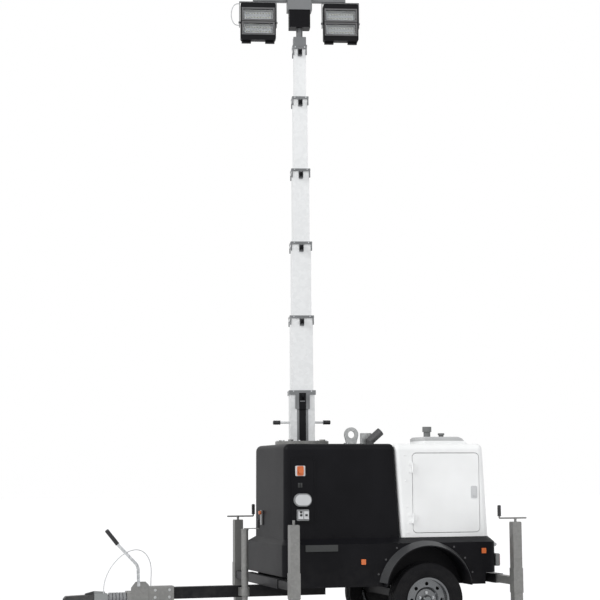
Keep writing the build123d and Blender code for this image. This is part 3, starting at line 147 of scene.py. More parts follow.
# %% [markdown]
# ## Shared surface effects
# Three effects return on many pieces. Moulded plastic has a fine grain and slow unevenness.
# Galvanised steel shows a faint patchwork of zinc crystals and some vertical run marks. Everything
# low on a trailer carries a thin film of road dust, which fades out with height. Image textures
# could show them, but noise on the object's own coordinates needs no unwrapping and has no seams.
# Each effect is a shader group that is built once, so one change reaches every material.

# %% Shader group: grain
def make_grain_group():
    """Fine grain over slow unevenness. Tone and Height are 0 to 1 around 0.5."""
    tree, inputs, outputs = new_group("grain", {"Fine Scale": 900.0, "Slow Scale": 3.0}, ("Tone", "Height"))
    place = add_node(tree, "ShaderNodeTexCoord")
    fine = add_node(tree, "ShaderNodeTexNoise", {"Detail": 2.0})
    slow = add_node(tree, "ShaderNodeTexNoise", {"Detail": 3.0})
    mix = add_node(tree, "ShaderNodeMix", {"Factor": 0.35})
    join_sockets(
        tree,
        (place, "Object", fine, "Vector"),
        (place, "Object", slow, "Vector"),
        (inputs, "Fine Scale", fine, "Scale"),
        (inputs, "Slow Scale", slow, "Scale"),
        (fine, "Fac", mix, "A"),
        (slow, "Fac", mix, "B"),
        (slow, "Fac", outputs, "Tone"),
        (mix, "Result", outputs, "Height"),
    )
    return tree


grain_group = make_grain_group()

# %% Shader group: zinc patchwork
def make_zinc_group():
    """Patchwork of zinc crystals with run marks. Tone is 0 to 1 around 0.5."""
    tree, inputs, outputs = new_group("zinc", {"Crystal Scale": 55.0, "Run Scale": 6.0}, ("Tone", "Height"))
    place = add_node(tree, "ShaderNodeTexCoord")
    stretch = add_node(tree, "ShaderNodeMapping", {"Scale": (1.0, 1.0, 0.12)})
    crystals = add_node(tree, "ShaderNodeTexVoronoi")
    crystal_tone = add_node(tree, "ShaderNodeSeparateColor")
    runs = add_node(tree, "ShaderNodeTexNoise", {"Detail": 4.0})
    mix = add_node(tree, "ShaderNodeMix", {"Factor": 0.55})
    join_sockets(
        tree,
        (place, "Object", crystals, "Vector"),
        (place, "Object", stretch, "Vector"),
        (stretch, "Vector", runs, "Vector"),
        (inputs, "Crystal Scale", crystals, "Scale"),
        (inputs, "Run Scale", runs, "Scale"),
        (crystals, "Color", crystal_tone, "Color"),
        (crystal_tone, "Red", mix, "A"),
        (runs, "Fac", mix, "B"),
        (mix, "Result", outputs, "Tone"),
        (runs, "Fac", outputs, "Height"),
    )
    return tree


zinc_group = make_zinc_group()

# %% Shader group: road film
dust_colour = (0.30, 0.285, 0.26, 1.0)
dust_roughness = 0.9


def make_road_film_group():
    """Mask of dust and dried splashes: Strength at the ground, none above Reach."""
    tree, inputs, outputs = new_group("road_film", {"Reach": 0.7, "Strength": 0.5}, ("Mask",))
    place = add_node(tree, "ShaderNodeTexCoord")
    split = add_node(tree, "ShaderNodeSeparateXYZ")
    share = add_node(tree, "ShaderNodeMath", operation="DIVIDE")
    fade = add_node(tree, "ShaderNodeMath", {0: 1.0}, operation="SUBTRACT", use_clamp=True)
    blotches = add_node(tree, "ShaderNodeTexNoise", {"Scale": 14.0, "Detail": 5.0, "Roughness": 0.65})
    sharper = add_node(tree, "ShaderNodeMapRange", {"From Min": 0.38, "From Max": 0.72})
    patchy = add_node(tree, "ShaderNodeMath", operation="MULTIPLY")
    scaled = add_node(tree, "ShaderNodeMath", operation="MULTIPLY", use_clamp=True)
    join_sockets(
        tree,
        (place, "Object", split, "Vector"),
        (place, "Object", blotches, "Vector"),
        (split, "Z", share, 0),
        (inputs, "Reach", share, 1),
        (share, 0, fade, 1),
        (blotches, "Fac", sharper, "Value"),
        (fade, 0, patchy, 0),
        (sharper, "Result", patchy, 1),
        (patchy, 0, scaled, 0),
        (inputs, "Strength", scaled, 1),
        (scaled, 0, outputs, "Mask"),
    )
    return tree


road_film_group = make_road_film_group()

# %% [markdown]
# ## Finishes
# A real finish is never one flat colour: paint, plastic and zinc all vary a little in tone and
# shine. Each could get a tree of its own, but one function makes every opaque finish here, because
# they differ only in numbers. It takes the two colours that the pattern runs between, the two
# roughness values, and how deep the relief is. The pattern comes from one of the groups above, and
# the road film lies over it. What is the same all over, such as the metal share, is set on the
# shader's own sockets.

# %% Finish recipe
relief_size = 0.001


def new_material(name, values):
    """Material with its node tree and its main shader, which gets plain values."""
    material = bpy.data.materials.new(name)
    material.use_nodes = True
    shader = material.node_tree.nodes["Principled BSDF"]
    set_values(shader, values)
    return material, material.node_tree, shader


def make_finish(
    name, dark, light, roughness=(0.4, 0.5), metallic=0.0, specular=0.5, relief=0.1,
    pattern=grain_group, pattern_values=None, film=0.0, film_reach=0.7,
):
    """Opaque material whose colour and roughness follow a pattern, under a film of road dust."""
    material, tree, shader = new_material(name, {"Metallic": metallic, "Specular IOR Level": specular})
    material.diffuse_color = (*light, 1.0)
    effect = add_node(tree, "ShaderNodeGroup", pattern_values, node_tree=pattern)
    spread = add_node(tree, "ShaderNodeMapRange", {"From Min": 0.3, "From Max": 0.7})
    colour = add_node(tree, "ShaderNodeMix", {"A": (*dark, 1.0), "B": (*light, 1.0)}, data_type="RGBA")
    sheen = add_node(tree, "ShaderNodeMapRange", {"To Min": roughness[0], "To Max": roughness[1]})
    bump = add_node(tree, "ShaderNodeBump", {"Strength": relief, "Distance": relief_size})
    join_sockets(
        tree,
        (effect, "Tone", spread, "Value"),
        (spread, "Result", colour, "Factor"),
        (effect, "Tone", sheen, "Value"),
        (effect, "Height", bump, "Height"),
        (bump, "Normal", shader, "Normal"),
    )
    if film:
        film_values = {"Reach": film_reach, "Strength": film}
        dust = add_node(tree, "ShaderNodeGroup", film_values, node_tree=road_film_group)
        dusty = add_node(tree, "ShaderNodeMix", {"B": dust_colour}, data_type="RGBA")
        dull = add_node(tree, "ShaderNodeMix", {"B": dust_roughness})
        join_sockets(
            tree,
            (dust, "Mask", dusty, "Factor"),
            (colour, "Result", dusty, "A"),
            (dust, "Mask", dull, "Factor"),
            (sheen, "Result", dull, "A"),
        )
        colour, sheen = dusty, dull
    join_sockets(tree, (colour, "Result", shader, "Base Color"), (sheen, "Result", shader, "Roughness"))
    return material


# %% [markdown]
# ## The table of finishes
# The canopy's front is black moulded plastic and its rear is white. The mast is bright galvanised
# steel, the jacks and the towing gear are duller. Each piece could be painted by hand, but a table
# gives one finish to each slot of the record, so that every carried-over piece finds its material
# by name.

# %% Finish table
zinc = {"pattern": zinc_group, "metallic": 0.55}
mast_zinc = {"pattern": zinc_group, "metallic": 0.3, "pattern_values": {"Crystal Scale": 38.0}}
finishes = {
    "black_plastic": make_finish(
        "black_moulded_plastic", (0.0045, 0.0045, 0.0055), (0.0075, 0.0075, 0.009),
        roughness=(0.36, 0.48), specular=0.065, relief=0.2, film=0.05, film_reach=0.75,
    ),
    "white_plastic": make_finish(
        "white_moulded_plastic", (0.79, 0.80, 0.80), (0.86, 0.87, 0.87),
        roughness=(0.3, 0.42), specular=0.4, relief=0.12,
    ),
    "grey_plastic": make_finish(
        "light_grey_plastic", (0.46, 0.47, 0.48), (0.56, 0.57, 0.58),
        roughness=(0.35, 0.5), relief=0.15, film=0.15,
    ),
    "galvanised": make_finish(
        "dull_galvanised_steel", (0.18, 0.18, 0.175), (0.212, 0.212, 0.206),
        roughness=(0.42, 0.55), relief=0.05, film=0.15, film_reach=0.6, **zinc,
    ),
    "mast_galvanised": make_finish(
        "bright_galvanised_steel", (0.62, 0.63, 0.635), (0.665, 0.675, 0.68),
        roughness=(0.3, 0.46), relief=0.05, **mast_zinc,
    ),
    "frame_grey": make_finish(
        "black_painted_steel", (0.006, 0.006, 0.007), (0.012, 0.012, 0.014),
        roughness=(0.4, 0.55), specular=0.12, relief=0.2, film=0.12, film_reach=0.65,
    ),
    "tyre_rubber": make_finish(
        "tyre_rubber", (0.004, 0.004, 0.005), (0.009, 0.009, 0.010),
        roughness=(0.62, 0.8), specular=0.1, relief=0.35, film=0.06,
        pattern_values={"Fine Scale": 500.0, "Slow Scale": 9.0},
    ),
    "soft_rubber": make_finish(
        "soft_rubber", (0.010, 0.010, 0.011), (0.022, 0.022, 0.024),
        roughness=(0.5, 0.7), specular=0.4, relief=0.3, film=0.15,
    ),
    "rim_silver": make_finish(
        "silver_painted_steel", (0.11, 0.115, 0.12), (0.18, 0.185, 0.19),
        roughness=(0.16, 0.28), metallic=0.85, relief=0.06, film=0.2, film_reach=0.6,
    ),
    "engine_cast": make_finish(
        "cast_grey_metal", (0.07, 0.07, 0.075), (0.14, 0.14, 0.145),
        roughness=(0.5, 0.7), metallic=0.4, relief=0.5, pattern_values={"Fine Scale": 260.0},
    ),
    "lamp_black": make_finish(
        "black_powder_coat", (0.004, 0.004, 0.005), (0.008, 0.008, 0.009),
        roughness=(0.45, 0.6), specular=0.1, relief=0.3, pattern_values={"Fine Scale": 700.0},
    ),
    "head_steel": make_finish(
        "grey_painted_steel", (0.12, 0.125, 0.13), (0.17, 0.175, 0.18),
        roughness=(0.35, 0.5), metallic=0.2, relief=0.12,
    ),
    "orange_plastic": make_finish(
        "orange_plastic", (0.50, 0.105, 0.022), (0.62, 0.15, 0.035), roughness=(0.18, 0.3), relief=0.05,
    ),
    "coupling_black": make_finish(
        "black_cast_steel", (0.010, 0.010, 0.011), (0.024, 0.024, 0.026),
        roughness=(0.4, 0.6), relief=0.5, film=0.3, pattern_values={"Fine Scale": 240.0},
    ),
    "lever_steel": make_finish(
        "zinc_plated_steel", (0.34, 0.35, 0.36), (0.52, 0.53, 0.54),
        roughness=(0.25, 0.4), metallic=0.8, relief=0.08, pattern=zinc_group,
    ),
}
print("finishes of the record's slots:", len(finishes))

# %% [markdown]
# ## Glass and small finishes
# Clear glass is a plain transmission shader. It could share the finish recipe, but its panes are
# flat and need no pattern, only the faint unevenness that keeps a reflection from looking computed.
# Some pieces share a slot with others and still differ from them, such as the exhaust, the roof
# caps and the turning base, so each of those gets a finish of its own.

# %% Glass
def make_glass(name, tint, roughness):
    """Clear pane with a slight tint and a barely uneven surface."""
    values = {"Base Color": (*tint, 1.0), "Roughness": roughness, "Transmission Weight": 1.0, "IOR": 1.45}
    material, tree, shader = new_material(name, values)
    effect = add_node(tree, "ShaderNodeGroup", {"Fine Scale": 40.0}, node_tree=grain_group)
    bump = add_node(tree, "ShaderNodeBump", {"Strength": 0.05, "Distance": relief_size})
    join_sockets(tree, (effect, "Height", bump, "Height"), (bump, "Normal", shader, "Normal"))
    return material


finishes["lamp_glass"] = make_glass("lamp_glass", (0.86, 0.88, 0.89), 0.06)
print("glass:", finishes["lamp_glass"].name)

# %% Small finishes
reflector_finish = make_finish(
    "satin_reflector", (0.25, 0.26, 0.27), (0.34, 0.35, 0.36),
    roughness=(0.3, 0.45), metallic=0.5, relief=0.05,
)
emitter_finish = make_finish(
    "lamp_emitter", (0.42, 0.38, 0.22), (0.52, 0.47, 0.28), roughness=(0.2, 0.3), relief=0.05,
)
# Dark grey for the arch flares, lighter than the black arches round them: a painted highlight, which the
# front light then shapes.
flare_painted_highlight_finish = make_finish(
    "flare_painted_highlight", (0.034, 0.035, 0.037), (0.046, 0.047, 0.049),
    roughness=(0.36, 0.46), specular=0.3, relief=0.05,
)
exhaust_finish = make_finish(
    "dark_exhaust_steel", (0.045, 0.045, 0.047), (0.075, 0.075, 0.078),
    roughness=(0.35, 0.5), metallic=0.4,
)
cap_finish = make_finish(
    "grey_cap_plastic", (0.13, 0.135, 0.135), (0.19, 0.195, 0.195), roughness=(0.35, 0.5),
)
eye_finish = make_finish(
    "pale_galvanised_steel", (0.36, 0.37, 0.37), (0.46, 0.47, 0.47),
    roughness=(0.35, 0.5), metallic=0.4, relief=0.05, pattern=zinc_group,
)
base_finish = make_finish(
    "mast_base_steel", (0.53, 0.54, 0.545), (0.59, 0.60, 0.605),
    roughness=(0.3, 0.46), relief=0.05, **mast_zinc,
)
window_finish = make_finish("grey_window_frame", (0.07, 0.07, 0.072), (0.10, 0.10, 0.102))
gaiter_finish = make_finish(
    "grey_rubber", (0.17, 0.175, 0.18), (0.23, 0.235, 0.24), roughness=(0.5, 0.65),
)
dark_strip_finish = make_finish(
    "dark_grey_plastic", (0.034, 0.036, 0.036), (0.046, 0.048, 0.048),
    roughness=(0.35, 0.5), specular=0.2,
)
# Grey for the roof pod's top: painted shade along its upper part, over the pod's own white below.
pod_painted_shade_finish = make_finish(
    "pod_top_painted_shade", (0.40, 0.405, 0.41), (0.48, 0.485, 0.49), roughness=(0.35, 0.5),
)
print("materials so far:", len(bpy.data.materials))

# %% [markdown]
# ## Two-tone pieces
# Some carried-over pieces are one node with two colours: a pale plate behind an orange button, a
# dark surround under a pale cover, a grey base under an orange knob. On the roof pod the grey top is
# painted shade, and on the front outrigger arms the black inner stretch is partly black paint and
# partly painted shade beneath the canopy. Their faces could be sorted into two materials. The colour
# changes at one place along one axis, though, so here the material splits on that coordinate, and
# the mesh stays as it is.

# %% Two-tone recipe
def make_two_tone(name, finish, axis, threshold, colour_below):
    """Copy of a finish that turns to another colour where the coordinate is under the threshold."""
    material = finish.copy()
    material.name = name + "_two_tone"
    tree = material.node_tree
    shader = tree.nodes["Principled BSDF"]
    own_colour = shader.inputs["Base Color"].links[0].from_socket
    place = add_node(tree, "ShaderNodeTexCoord")
    split = add_node(tree, "ShaderNodeSeparateXYZ")
    above = add_node(tree, "ShaderNodeMath", {1: threshold}, operation="GREATER_THAN")
    colour = add_node(tree, "ShaderNodeMix", {"A": (*colour_below, 1.0)}, data_type="RGBA")
    tree.links.new(own_colour, colour.inputs["B"])
    join_sockets(
        tree,
        (place, "Object", split, "Vector"),
        (split, axis, above, 0),
        (above, 0, colour, "Factor"),
        (colour, "Result", shader, "Base Color"),
    )
    return material


# %% Two-tone pieces
stop_plate_front = 0.5155
cover_rim_front = 0.5285
isolator_front = 0.1325
rear_rail_front = -1.790
coupling_nose_rear = 1.680
pod_painted_shade_bottom = 1.712
# Where the front arms' black inner stretch ends: partly black paint, partly painted shade beneath the canopy.
arm_black_and_shade_end = 0.885
two_tone_pieces = {
    # node: (material name, finish above the place, axis, place, colour below it)
    "emergency_stop": ("stop", finishes["orange_plastic"], "Y", stop_plate_front, (0.55, 0.56, 0.57)),
    "panel_fittings": ("cover", finishes["grey_plastic"], "Y", cover_rim_front, (0.20, 0.205, 0.21)),
    "battery_isolator": ("isolator", finishes["orange_plastic"], "X", isolator_front, (0.12, 0.12, 0.12)),
    "grab_rails": ("rail", dark_strip_finish, "X", rear_rail_front, (0.50, 0.51, 0.52)),
    "coupling_head": ("coupling", finishes["coupling_black"], "X", coupling_nose_rear, (0.24, 0.25, 0.25)),
    # Roof pod: the grey above this height is painted shade, the white below is its own colour.
    "roof_pod": ("pod", pod_painted_shade_finish, "Z", pod_painted_shade_bottom, (0.82, 0.83, 0.83)),
    # Front outrigger arms: the black inner stretch is partly black paint and partly painted shade beneath the
    # canopy.
    "outrigger_front_left": ("left_arm_black_and_shade", finishes["galvanised"], "Y", arm_black_and_shade_end, (0.009, 0.009, 0.010)),
    "outrigger_front_right": ("right_arm_black_and_shade", finishes["frame_grey"], "Y", -arm_black_and_shade_end, (0.17, 0.17, 0.165)),
}
own_finish = {node_name: make_two_tone(*facts) for node_name, facts in two_tone_pieces.items()}
print("two-tone pieces:", list(own_finish))

# %% Give the carried-over pieces their finish
own_finish.update(
    mast_base=base_finish,
    tail_lamps=cap_finish,
    mudguards=finishes["lamp_black"],
    exhaust=exhaust_finish,
    roof_caps=cap_finish,
    lifting_eye=eye_finish,
    gaiter=gaiter_finish,
    breakaway_cable=finishes["grey_plastic"],
)
for node_name, node in nodes.items():
    material = own_finish.get(node_name, finishes[slot_of_node[node_name]])
    for slot in node.material_slots:
        slot.material = material
print("carried-over pieces painted:", len(nodes))

# %% [markdown]
# ## Making and placing pieces
# Every added piece ends the same way: its mesh gets smooth shading with crisp corners and a finish,
# and it rides on the body that carries it. The mast rests turned a little about its own axis, so
# that the lamps face the camera. Its pieces could be drawn at that angle, but it is easier to draw
# them straight and then turn their points, which leaves the object itself at the origin.

# %% Piece tools
mast_low, mast_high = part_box("mast_base")
mast_x = (mast_low.x + mast_high.x) / 2
mast_axis = Matrix.Translation((mast_x, 0, 0))
mast_turn = mast_axis @ Matrix.Rotation(math.radians(-12.5), 4, "Z") @ mast_axis.inverted()
merge_distance = 1e-6


def new_piece(name, mesh_maker):
    """Object at the origin whose mesh is filled by mesh_maker(bmesh)."""
    shape = bmesh.new()
    mesh_maker(shape)
    bmesh.ops.remove_doubles(shape, verts=shape.verts, dist=merge_distance)
    bmesh.ops.recalc_face_normals(shape, faces=shape.faces)
    mesh = bpy.data.meshes.new(name)
    shape.to_mesh(mesh)
    shape.free()
    return new_object(name, mesh)


def dress(piece, body, slot, finish=None, crisp_angle=35, on_mast=False):
    """Shades, paints and mounts a piece. One on the mast is drawn straight and turned with it."""
    if on_mast:
        piece.data.transform(mast_turn)
    piece.data.shade_smooth()
    piece.data.set_sharp_from_angle(angle=math.radians(crisp_angle))
    if finish or not piece.data.materials:
        piece.data.materials.clear()
        piece.data.materials.append(finish or finishes[slot])
    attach(piece, body)
    return piece


def join_meshes(name, pieces):
    """One piece from several finished meshes, all at the origin."""
    shape = bmesh.new()
    for piece in pieces:
        shape.from_mesh(piece.data)
        bpy.data.objects.remove(piece)
    mesh = bpy.data.meshes.new(name)
    shape.to_mesh(mesh)
    shape.free()
    return new_object(name, mesh)


print("the mast turns about x =", round(mast_x, 3))

# %% [markdown]
# ## Four ways to shape a piece
# Most of what is added is turned, square or flat. Blender's own primitives would need moving and
# scaling afterwards, so these makers write their points in place: one turns a profile about an
# axis, two make a block with rounded edges, and one gives a rounded rectangle its thickness.

# %% Turned pieces
def bridge_rings(shape, rings, closed=False):
    """Faces from each ring of points to the next, and from the last to the first where closed."""
    following = rings[1:] + rings[:1] if closed else rings[1:]
    for first, second in zip(rings, following):
        for index in range(len(first)):
            after = (index + 1) % len(first)
            shape.faces.new((first[index], first[after], second[after], second[index]))


def turned_piece(name, profile, centre, axis, segments=48, closed=False):
    """Profile of (distance along the axis, radius) points, turned about the axis."""
    axis = Vector(axis).normalized()
    across = axis.orthogonal().normalized()
    beside = axis.cross(across)

    def fill_turned(shape):
        rings = []
        for along, radius in profile:
            middle = Vector(centre) + axis * along
            ring = []
            for step in range(segments):
                angle = 2 * math.pi * step / segments
                spoke = across * math.cos(angle) + beside * math.sin(angle)
                ring.append(shape.verts.new(middle + spoke * radius))
            rings.append(ring)
        bridge_rings(shape, rings, closed)

    return new_piece(name, fill_turned)


# %% Blocks and plates
def add_block(shape, low, high, rounding):
    """Adds a block between two corners, with its edges rounded."""
    made = bmesh.ops.create_cube(shape, size=1.0)
    for vertex in made["verts"]:
        for axis in range(3):
            vertex.co[axis] = (low[axis] + high[axis]) / 2 + vertex.co[axis] * (high[axis] - low[axis])
    edges = {edge for vertex in made["verts"] for edge in vertex.link_edges}
    bmesh.ops.bevel(shape, geom=list(edges), offset=rounding, segments=3, profile=0.5, affect="EDGES")


def add_bar(shape, middle_x, width, y_ends, z_ends, rounding):
    """Adds a block by its middle and width along x, and its two ends along y and z."""
    low = (middle_x - width / 2, min(y_ends), min(z_ends))
    high = (middle_x + width / 2, max(y_ends), max(z_ends))
    add_block(shape, low, high, rounding)


def add_plate(shape, width, height, corner_radius, middle, side, thickness):
    """Adds an upright rounded rectangle that stands out from a face on the left or right."""
    near = []
    for corner, (way_x, way_z) in enumerate(((1, 1), (-1, 1), (-1, -1), (1, -1))):
        for step in range(plate_corner_steps + 1):
            angle = math.pi / 2 * (corner + step / plate_corner_steps)
            along = way_x * (width / 2 - corner_radius) + corner_radius * math.cos(angle)
            up = way_z * (height / 2 - corner_radius) + corner_radius * math.sin(angle)
            near.append(shape.verts.new(Vector(middle) + Vector((-side * along, 0, up))))
    far = [shape.verts.new(vertex.co + Vector((0, side * thickness, 0))) for vertex in near]
    shape.faces.new(near)
    shape.faces.new(far[::-1])
    bridge_rings(shape, [near, far])


plate_corner_steps = 5
both_sides = (("left", 1), ("right", -1))
print("a plate's outline has", 4 * (plate_corner_steps + 1), "points")

# %% [markdown]
# ## Trees for what repeats
# Screw heads, tread blocks and lamp lenses repeat many times. Copies could be made in a loop, but
# Geometry Nodes instance one small shape over points, which stays quick and easy to change. Each
# tree is built here with named inputs for its sizes. The runner gives the inputs their values by
# the sockets' identifiers, evaluates the tree and keeps the result as a plain mesh.

# %% Tree tools
def new_tree(name, inputs):
    """Empty geometry tree with a mesh input, named inputs (name: kind) and one for the material."""
    tree = bpy.data.node_groups.new(name, "GeometryNodeTree")
    sockets = {"Geometry": "Geometry", **inputs, "Material": "Material"}
    for socket_name, kind in sockets.items():
        tree.interface.new_socket(socket_name, in_out="INPUT", socket_type="NodeSocket" + kind)
    tree.interface.new_socket("Geometry", in_out="OUTPUT", socket_type="NodeSocketGeometry")
    print("geometry tree:", name, "with", list(inputs))
    return tree, tree.nodes.new("NodeGroupInput"), tree.nodes.new("NodeGroupOutput")


def end_tree(tree, last, result, inputs, outputs):
    """Makes the last node's instances real and gives them the material input."""
    real = add_node(tree, "GeometryNodeRealizeInstances")
    painted = add_node(tree, "GeometryNodeSetMaterial")
    join_sockets(
        tree,
        (last, result, real, "Geometry"),
        (real, "Geometry", painted, "Geometry"),
        (inputs, "Material", painted, "Material"),
        (painted, "Geometry", outputs, "Geometry"),
    )
    return tree


def run_tree(name, tree, values, points=()):
    """Plain mesh object from a tree. points are (place, facing) pairs for the trees that need them."""
    base = bpy.data.meshes.new(name + "_points")
    base.from_pydata([tuple(place) for place, facing in points], [], [])
    facings = base.attributes.new("facing", "FLOAT_VECTOR", "POINT")
    for entry, (place, facing) in zip(facings.data, points):
        entry.vector = facing
    carrier = new_object(name + "_carrier", base)
    modifier = carrier.modifiers.new("shape", "NODES")
    modifier.node_group = tree
    identifiers = {
        item.name: item.identifier
        for item in tree.interface.items_tree
        if item.item_type == "SOCKET" and item.in_out == "INPUT"
    }
    for socket_name, value in values.items():
        modifier[identifiers[socket_name]] = value
    graph = bpy.context.evaluated_depsgraph_get()
    mesh = bpy.data.meshes.new_from_object(carrier.evaluated_get(graph))
    bpy.data.objects.remove(carrier)
    mesh.name = name
    return new_object(name, mesh)


# %% Tree: screw heads
head_taper = 0.86
washer_share = 0.44


def make_screw_tree():
    """Head on a washer at each point, facing the way that the point says."""
    sizes = {"Head Radius": "Float", "Head Height": "Float", "Washer Radius": "Float", "Sides": "Int"}
    tree, inputs, outputs = new_tree("screw_heads", sizes)
    head = add_node(tree, "GeometryNodeMeshCone")
    taper = add_node(tree, "ShaderNodeMath", {1: head_taper}, operation="MULTIPLY")
    washer = add_node(tree, "GeometryNodeMeshCylinder", {"Vertices": 20})
    washer_height = add_node(tree, "ShaderNodeMath", {1: washer_share}, operation="MULTIPLY")
    both = add_node(tree, "GeometryNodeJoinGeometry")
    facing = add_node(tree, "GeometryNodeInputNamedAttribute", {"Name": "facing"}, data_type="FLOAT_VECTOR")
    turn = add_node(tree, "FunctionNodeAlignRotationToVector", axis="Z")
    place = add_node(tree, "GeometryNodeInstanceOnPoints")
    join_sockets(
        tree,
        (inputs, "Sides", head, "Vertices"),
        (inputs, "Head Radius", head, "Radius Bottom"),
        (inputs, "Head Radius", taper, 0),
        (taper, 0, head, "Radius Top"),
        (inputs, "Head Height", head, "Depth"),
        (inputs, "Washer Radius", washer, "Radius"),
        (inputs, "Head Height", washer_height, 0),
        (washer_height, 0, washer, "Depth"),
        (washer, "Mesh", both, "Geometry"),
        (head, "Mesh", both, "Geometry"),
        (facing, "Attribute", turn, "Vector"),
        (inputs, "Geometry", place, "Points"),
        (both, "Geometry", place, "Instance"),
        (turn, "Rotation", place, "Rotation"),
    )
    return end_tree(tree, place, "Instances", inputs, outputs)


screw_tree = make_screw_tree()


def screw_heads(name, points, body, slot, radius, height, washer=1.5, sides=6, finish=None, on_mast=False):
    """Screw heads at (place, facing) points, as one piece on a body. washer is a share of radius."""
    values = {
        "Head Radius": radius,
        "Head Height": height,
        "Washer Radius": washer * radius,
        "Sides": sides,
        "Material": finish or finishes[slot],
    }
    return dress(run_tree(name, screw_tree, values, points), body, slot, on_mast=on_mast)


# %% Tree: ring of blocks
def make_ring_tree():
    """Blocks set round a circle about the Y axis, for tread ribs."""
    sizes = {
        "Count": "Int", "Radius": "Float", "Block Size": "Vector", "Phase": "Float", "Place": "Vector",
    }
    tree, inputs, outputs = new_tree("ring_of_blocks", sizes)
    circle = add_node(tree, "GeometryNodeMeshCircle")
    spoke = add_node(tree, "GeometryNodeInputPosition")
    turn = add_node(tree, "FunctionNodeAlignRotationToVector", axis="X")
    block = add_node(tree, "GeometryNodeMeshCube")
    instances = add_node(tree, "GeometryNodeInstanceOnPoints")
    phase = add_node(tree, "ShaderNodeCombineXYZ")
    spin = add_node(tree, "GeometryNodeTransform")
    stand = add_node(tree, "GeometryNodeTransform", {"Rotation": (math.pi / 2, 0.0, 0.0)})
    join_sockets(
        tree,
        (inputs, "Count", circle, "Vertices"),
        (inputs, "Radius", circle, "Radius"),
        (spoke, "Position", turn, "Vector"),
        (inputs, "Block Size", block, "Size"),
        (circle, "Mesh", instances, "Points"),
        (block, "Mesh", instances, "Instance"),
        (turn, "Rotation", instances, "Rotation"),
        (inputs, "Phase", phase, "Z"),
        (instances, "Instances", spin, "Geometry"),
        (phase, "Vector", spin, "Rotation"),
        (spin, "Geometry", stand, "Geometry"),
        (inputs, "Place", stand, "Translation"),
    )
    return end_tree(tree, stand, "Geometry", inputs, outputs)


ring_tree = make_ring_tree()

# %% Tree: grid of lenses
def make_lens_tree():
    """Small domes in rows and columns, upright in the XZ plane."""
    sizes = {
        "Width": "Float", "Height": "Float", "Columns": "Int", "Rows": "Int", "Lens Radius": "Float",
        "Place": "Vector",
    }
    tree, inputs, outputs = new_tree("grid_of_lenses", sizes)
    grid = add_node(tree, "GeometryNodeMeshGrid")
    lens = add_node(tree, "GeometryNodeMeshUVSphere", {"Segments": 12, "Rings": 8})
    instances = add_node(tree, "GeometryNodeInstanceOnPoints")
    stand = add_node(tree, "GeometryNodeTransform", {"Rotation": (math.pi / 2, 0.0, 0.0)})
    join_sockets(
        tree,
        (inputs, "Width", grid, "Size X"),
        (inputs, "Height", grid, "Size Y"),
        (inputs, "Columns", grid, "Vertices X"),
        (inputs, "Rows", grid, "Vertices Y"),
        (inputs, "Lens Radius", lens, "Radius"),
        (grid, "Mesh", instances, "Points"),
        (lens, "Mesh", instances, "Instance"),
        (instances, "Instances", stand, "Geometry"),
        (inputs, "Place", stand, "Translation"),
    )
    return end_tree(tree, stand, "Geometry", inputs, outputs)


lens_tree = make_lens_tree()

# %% [markdown]
# ## The two free cords
# The breakaway cable rises from the coupling head in a wide loop and comes down on the drawbar's
# clamp. It pulls the brake on if the trailer comes loose. The second cord is the short lead beside
# the lower front lamp. Both could be simulated, but they are short and stiff and keep their shape,
# so each is a smooth curve through a few control points, with its real thickness.

# %% Cords
lamp_spacing = 0.383
yoke_reach = 0.174
lead_start_x = mast_x + lamp_spacing + yoke_reach
lead_top_z = 5.752
cable_route = (
    (1.600, 0.024, 0.411), (1.600, 0.024, 0.468), (1.582, 0.024, 0.545), (1.543, 0.027, 0.628),
    (1.478, 0.031, 0.706), (1.398, 0.034, 0.762), (1.312, 0.032, 0.783), (1.240, 0.027, 0.752),
    (1.196, 0.020, 0.682), (1.181, 0.013, 0.600), (1.185, 0.007, 0.524), (1.185, 0.007, 0.462),
)
lead_route = (
    # outwards from the yoke, aside, below the lead's top end
    (0.000, 0.000, 0.000), (0.027, 0.000, 0.000), (0.053, 0.003, 0.020), (0.069, 0.005, 0.057),
    (0.076, 0.006, 0.103), (0.071, 0.006, 0.148), (0.056, 0.004, 0.184), (0.028, 0.000, 0.206),
    (0.000, 0.000, 0.206),
)
lead_places = tuple(
    mast_turn @ Vector((lead_start_x + outwards, aside, lead_top_z - below))
    for outwards, aside, below in lead_route
)
cords = (
    # name, diameter, length, body, slot, route
    ("breakaway_cable", 0.008, 0.891, "trailer", "lever_steel", cable_route),
    ("lamp_lead", 0.009, 0.291, "mast_5_with_head", "soft_rubber", lead_places),
)


def make_cord(name, diameter, length, body, slot, route):
    """Round cord on a smooth curve, in the place of its plain solid."""
    curve = bpy.data.curves.new(name + "_line", "CURVE")
    curve.dimensions = "3D"
    spline = curve.splines.new("NURBS")
    spline.points.add(len(route) - 1)
    for point, place in zip(spline.points, route):
        point.co = (*place, 1.0)
    spline.order_u = 3
    spline.use_endpoint_u = True
    spline.resolution_u = 12
    curve.bevel_depth = diameter / 2
    curve.bevel_resolution = 4
    curve.use_fill_caps = True
    curve.materials.append(finishes["grey_plastic"])
    cord = new_object(name + "_cord", curve)
    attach(cord, body)
    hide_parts(name)
    print("cord:", cord.name, "of", len(route), "points")


for facts in cords:
    make_cord(*facts)

# %% [markdown]
# ## Tyres
# The carried-over tyre is a plain ring. The real one has four grooves round its tread, blocks
# between them, a rounded shoulder and raised bands on its sidewall. A displaced texture would give
# the tread no real edge, so the carcass is turned from a profile, and each rib of blocks comes from
# the ring tree, with a different phase so that the blocks do not line up.

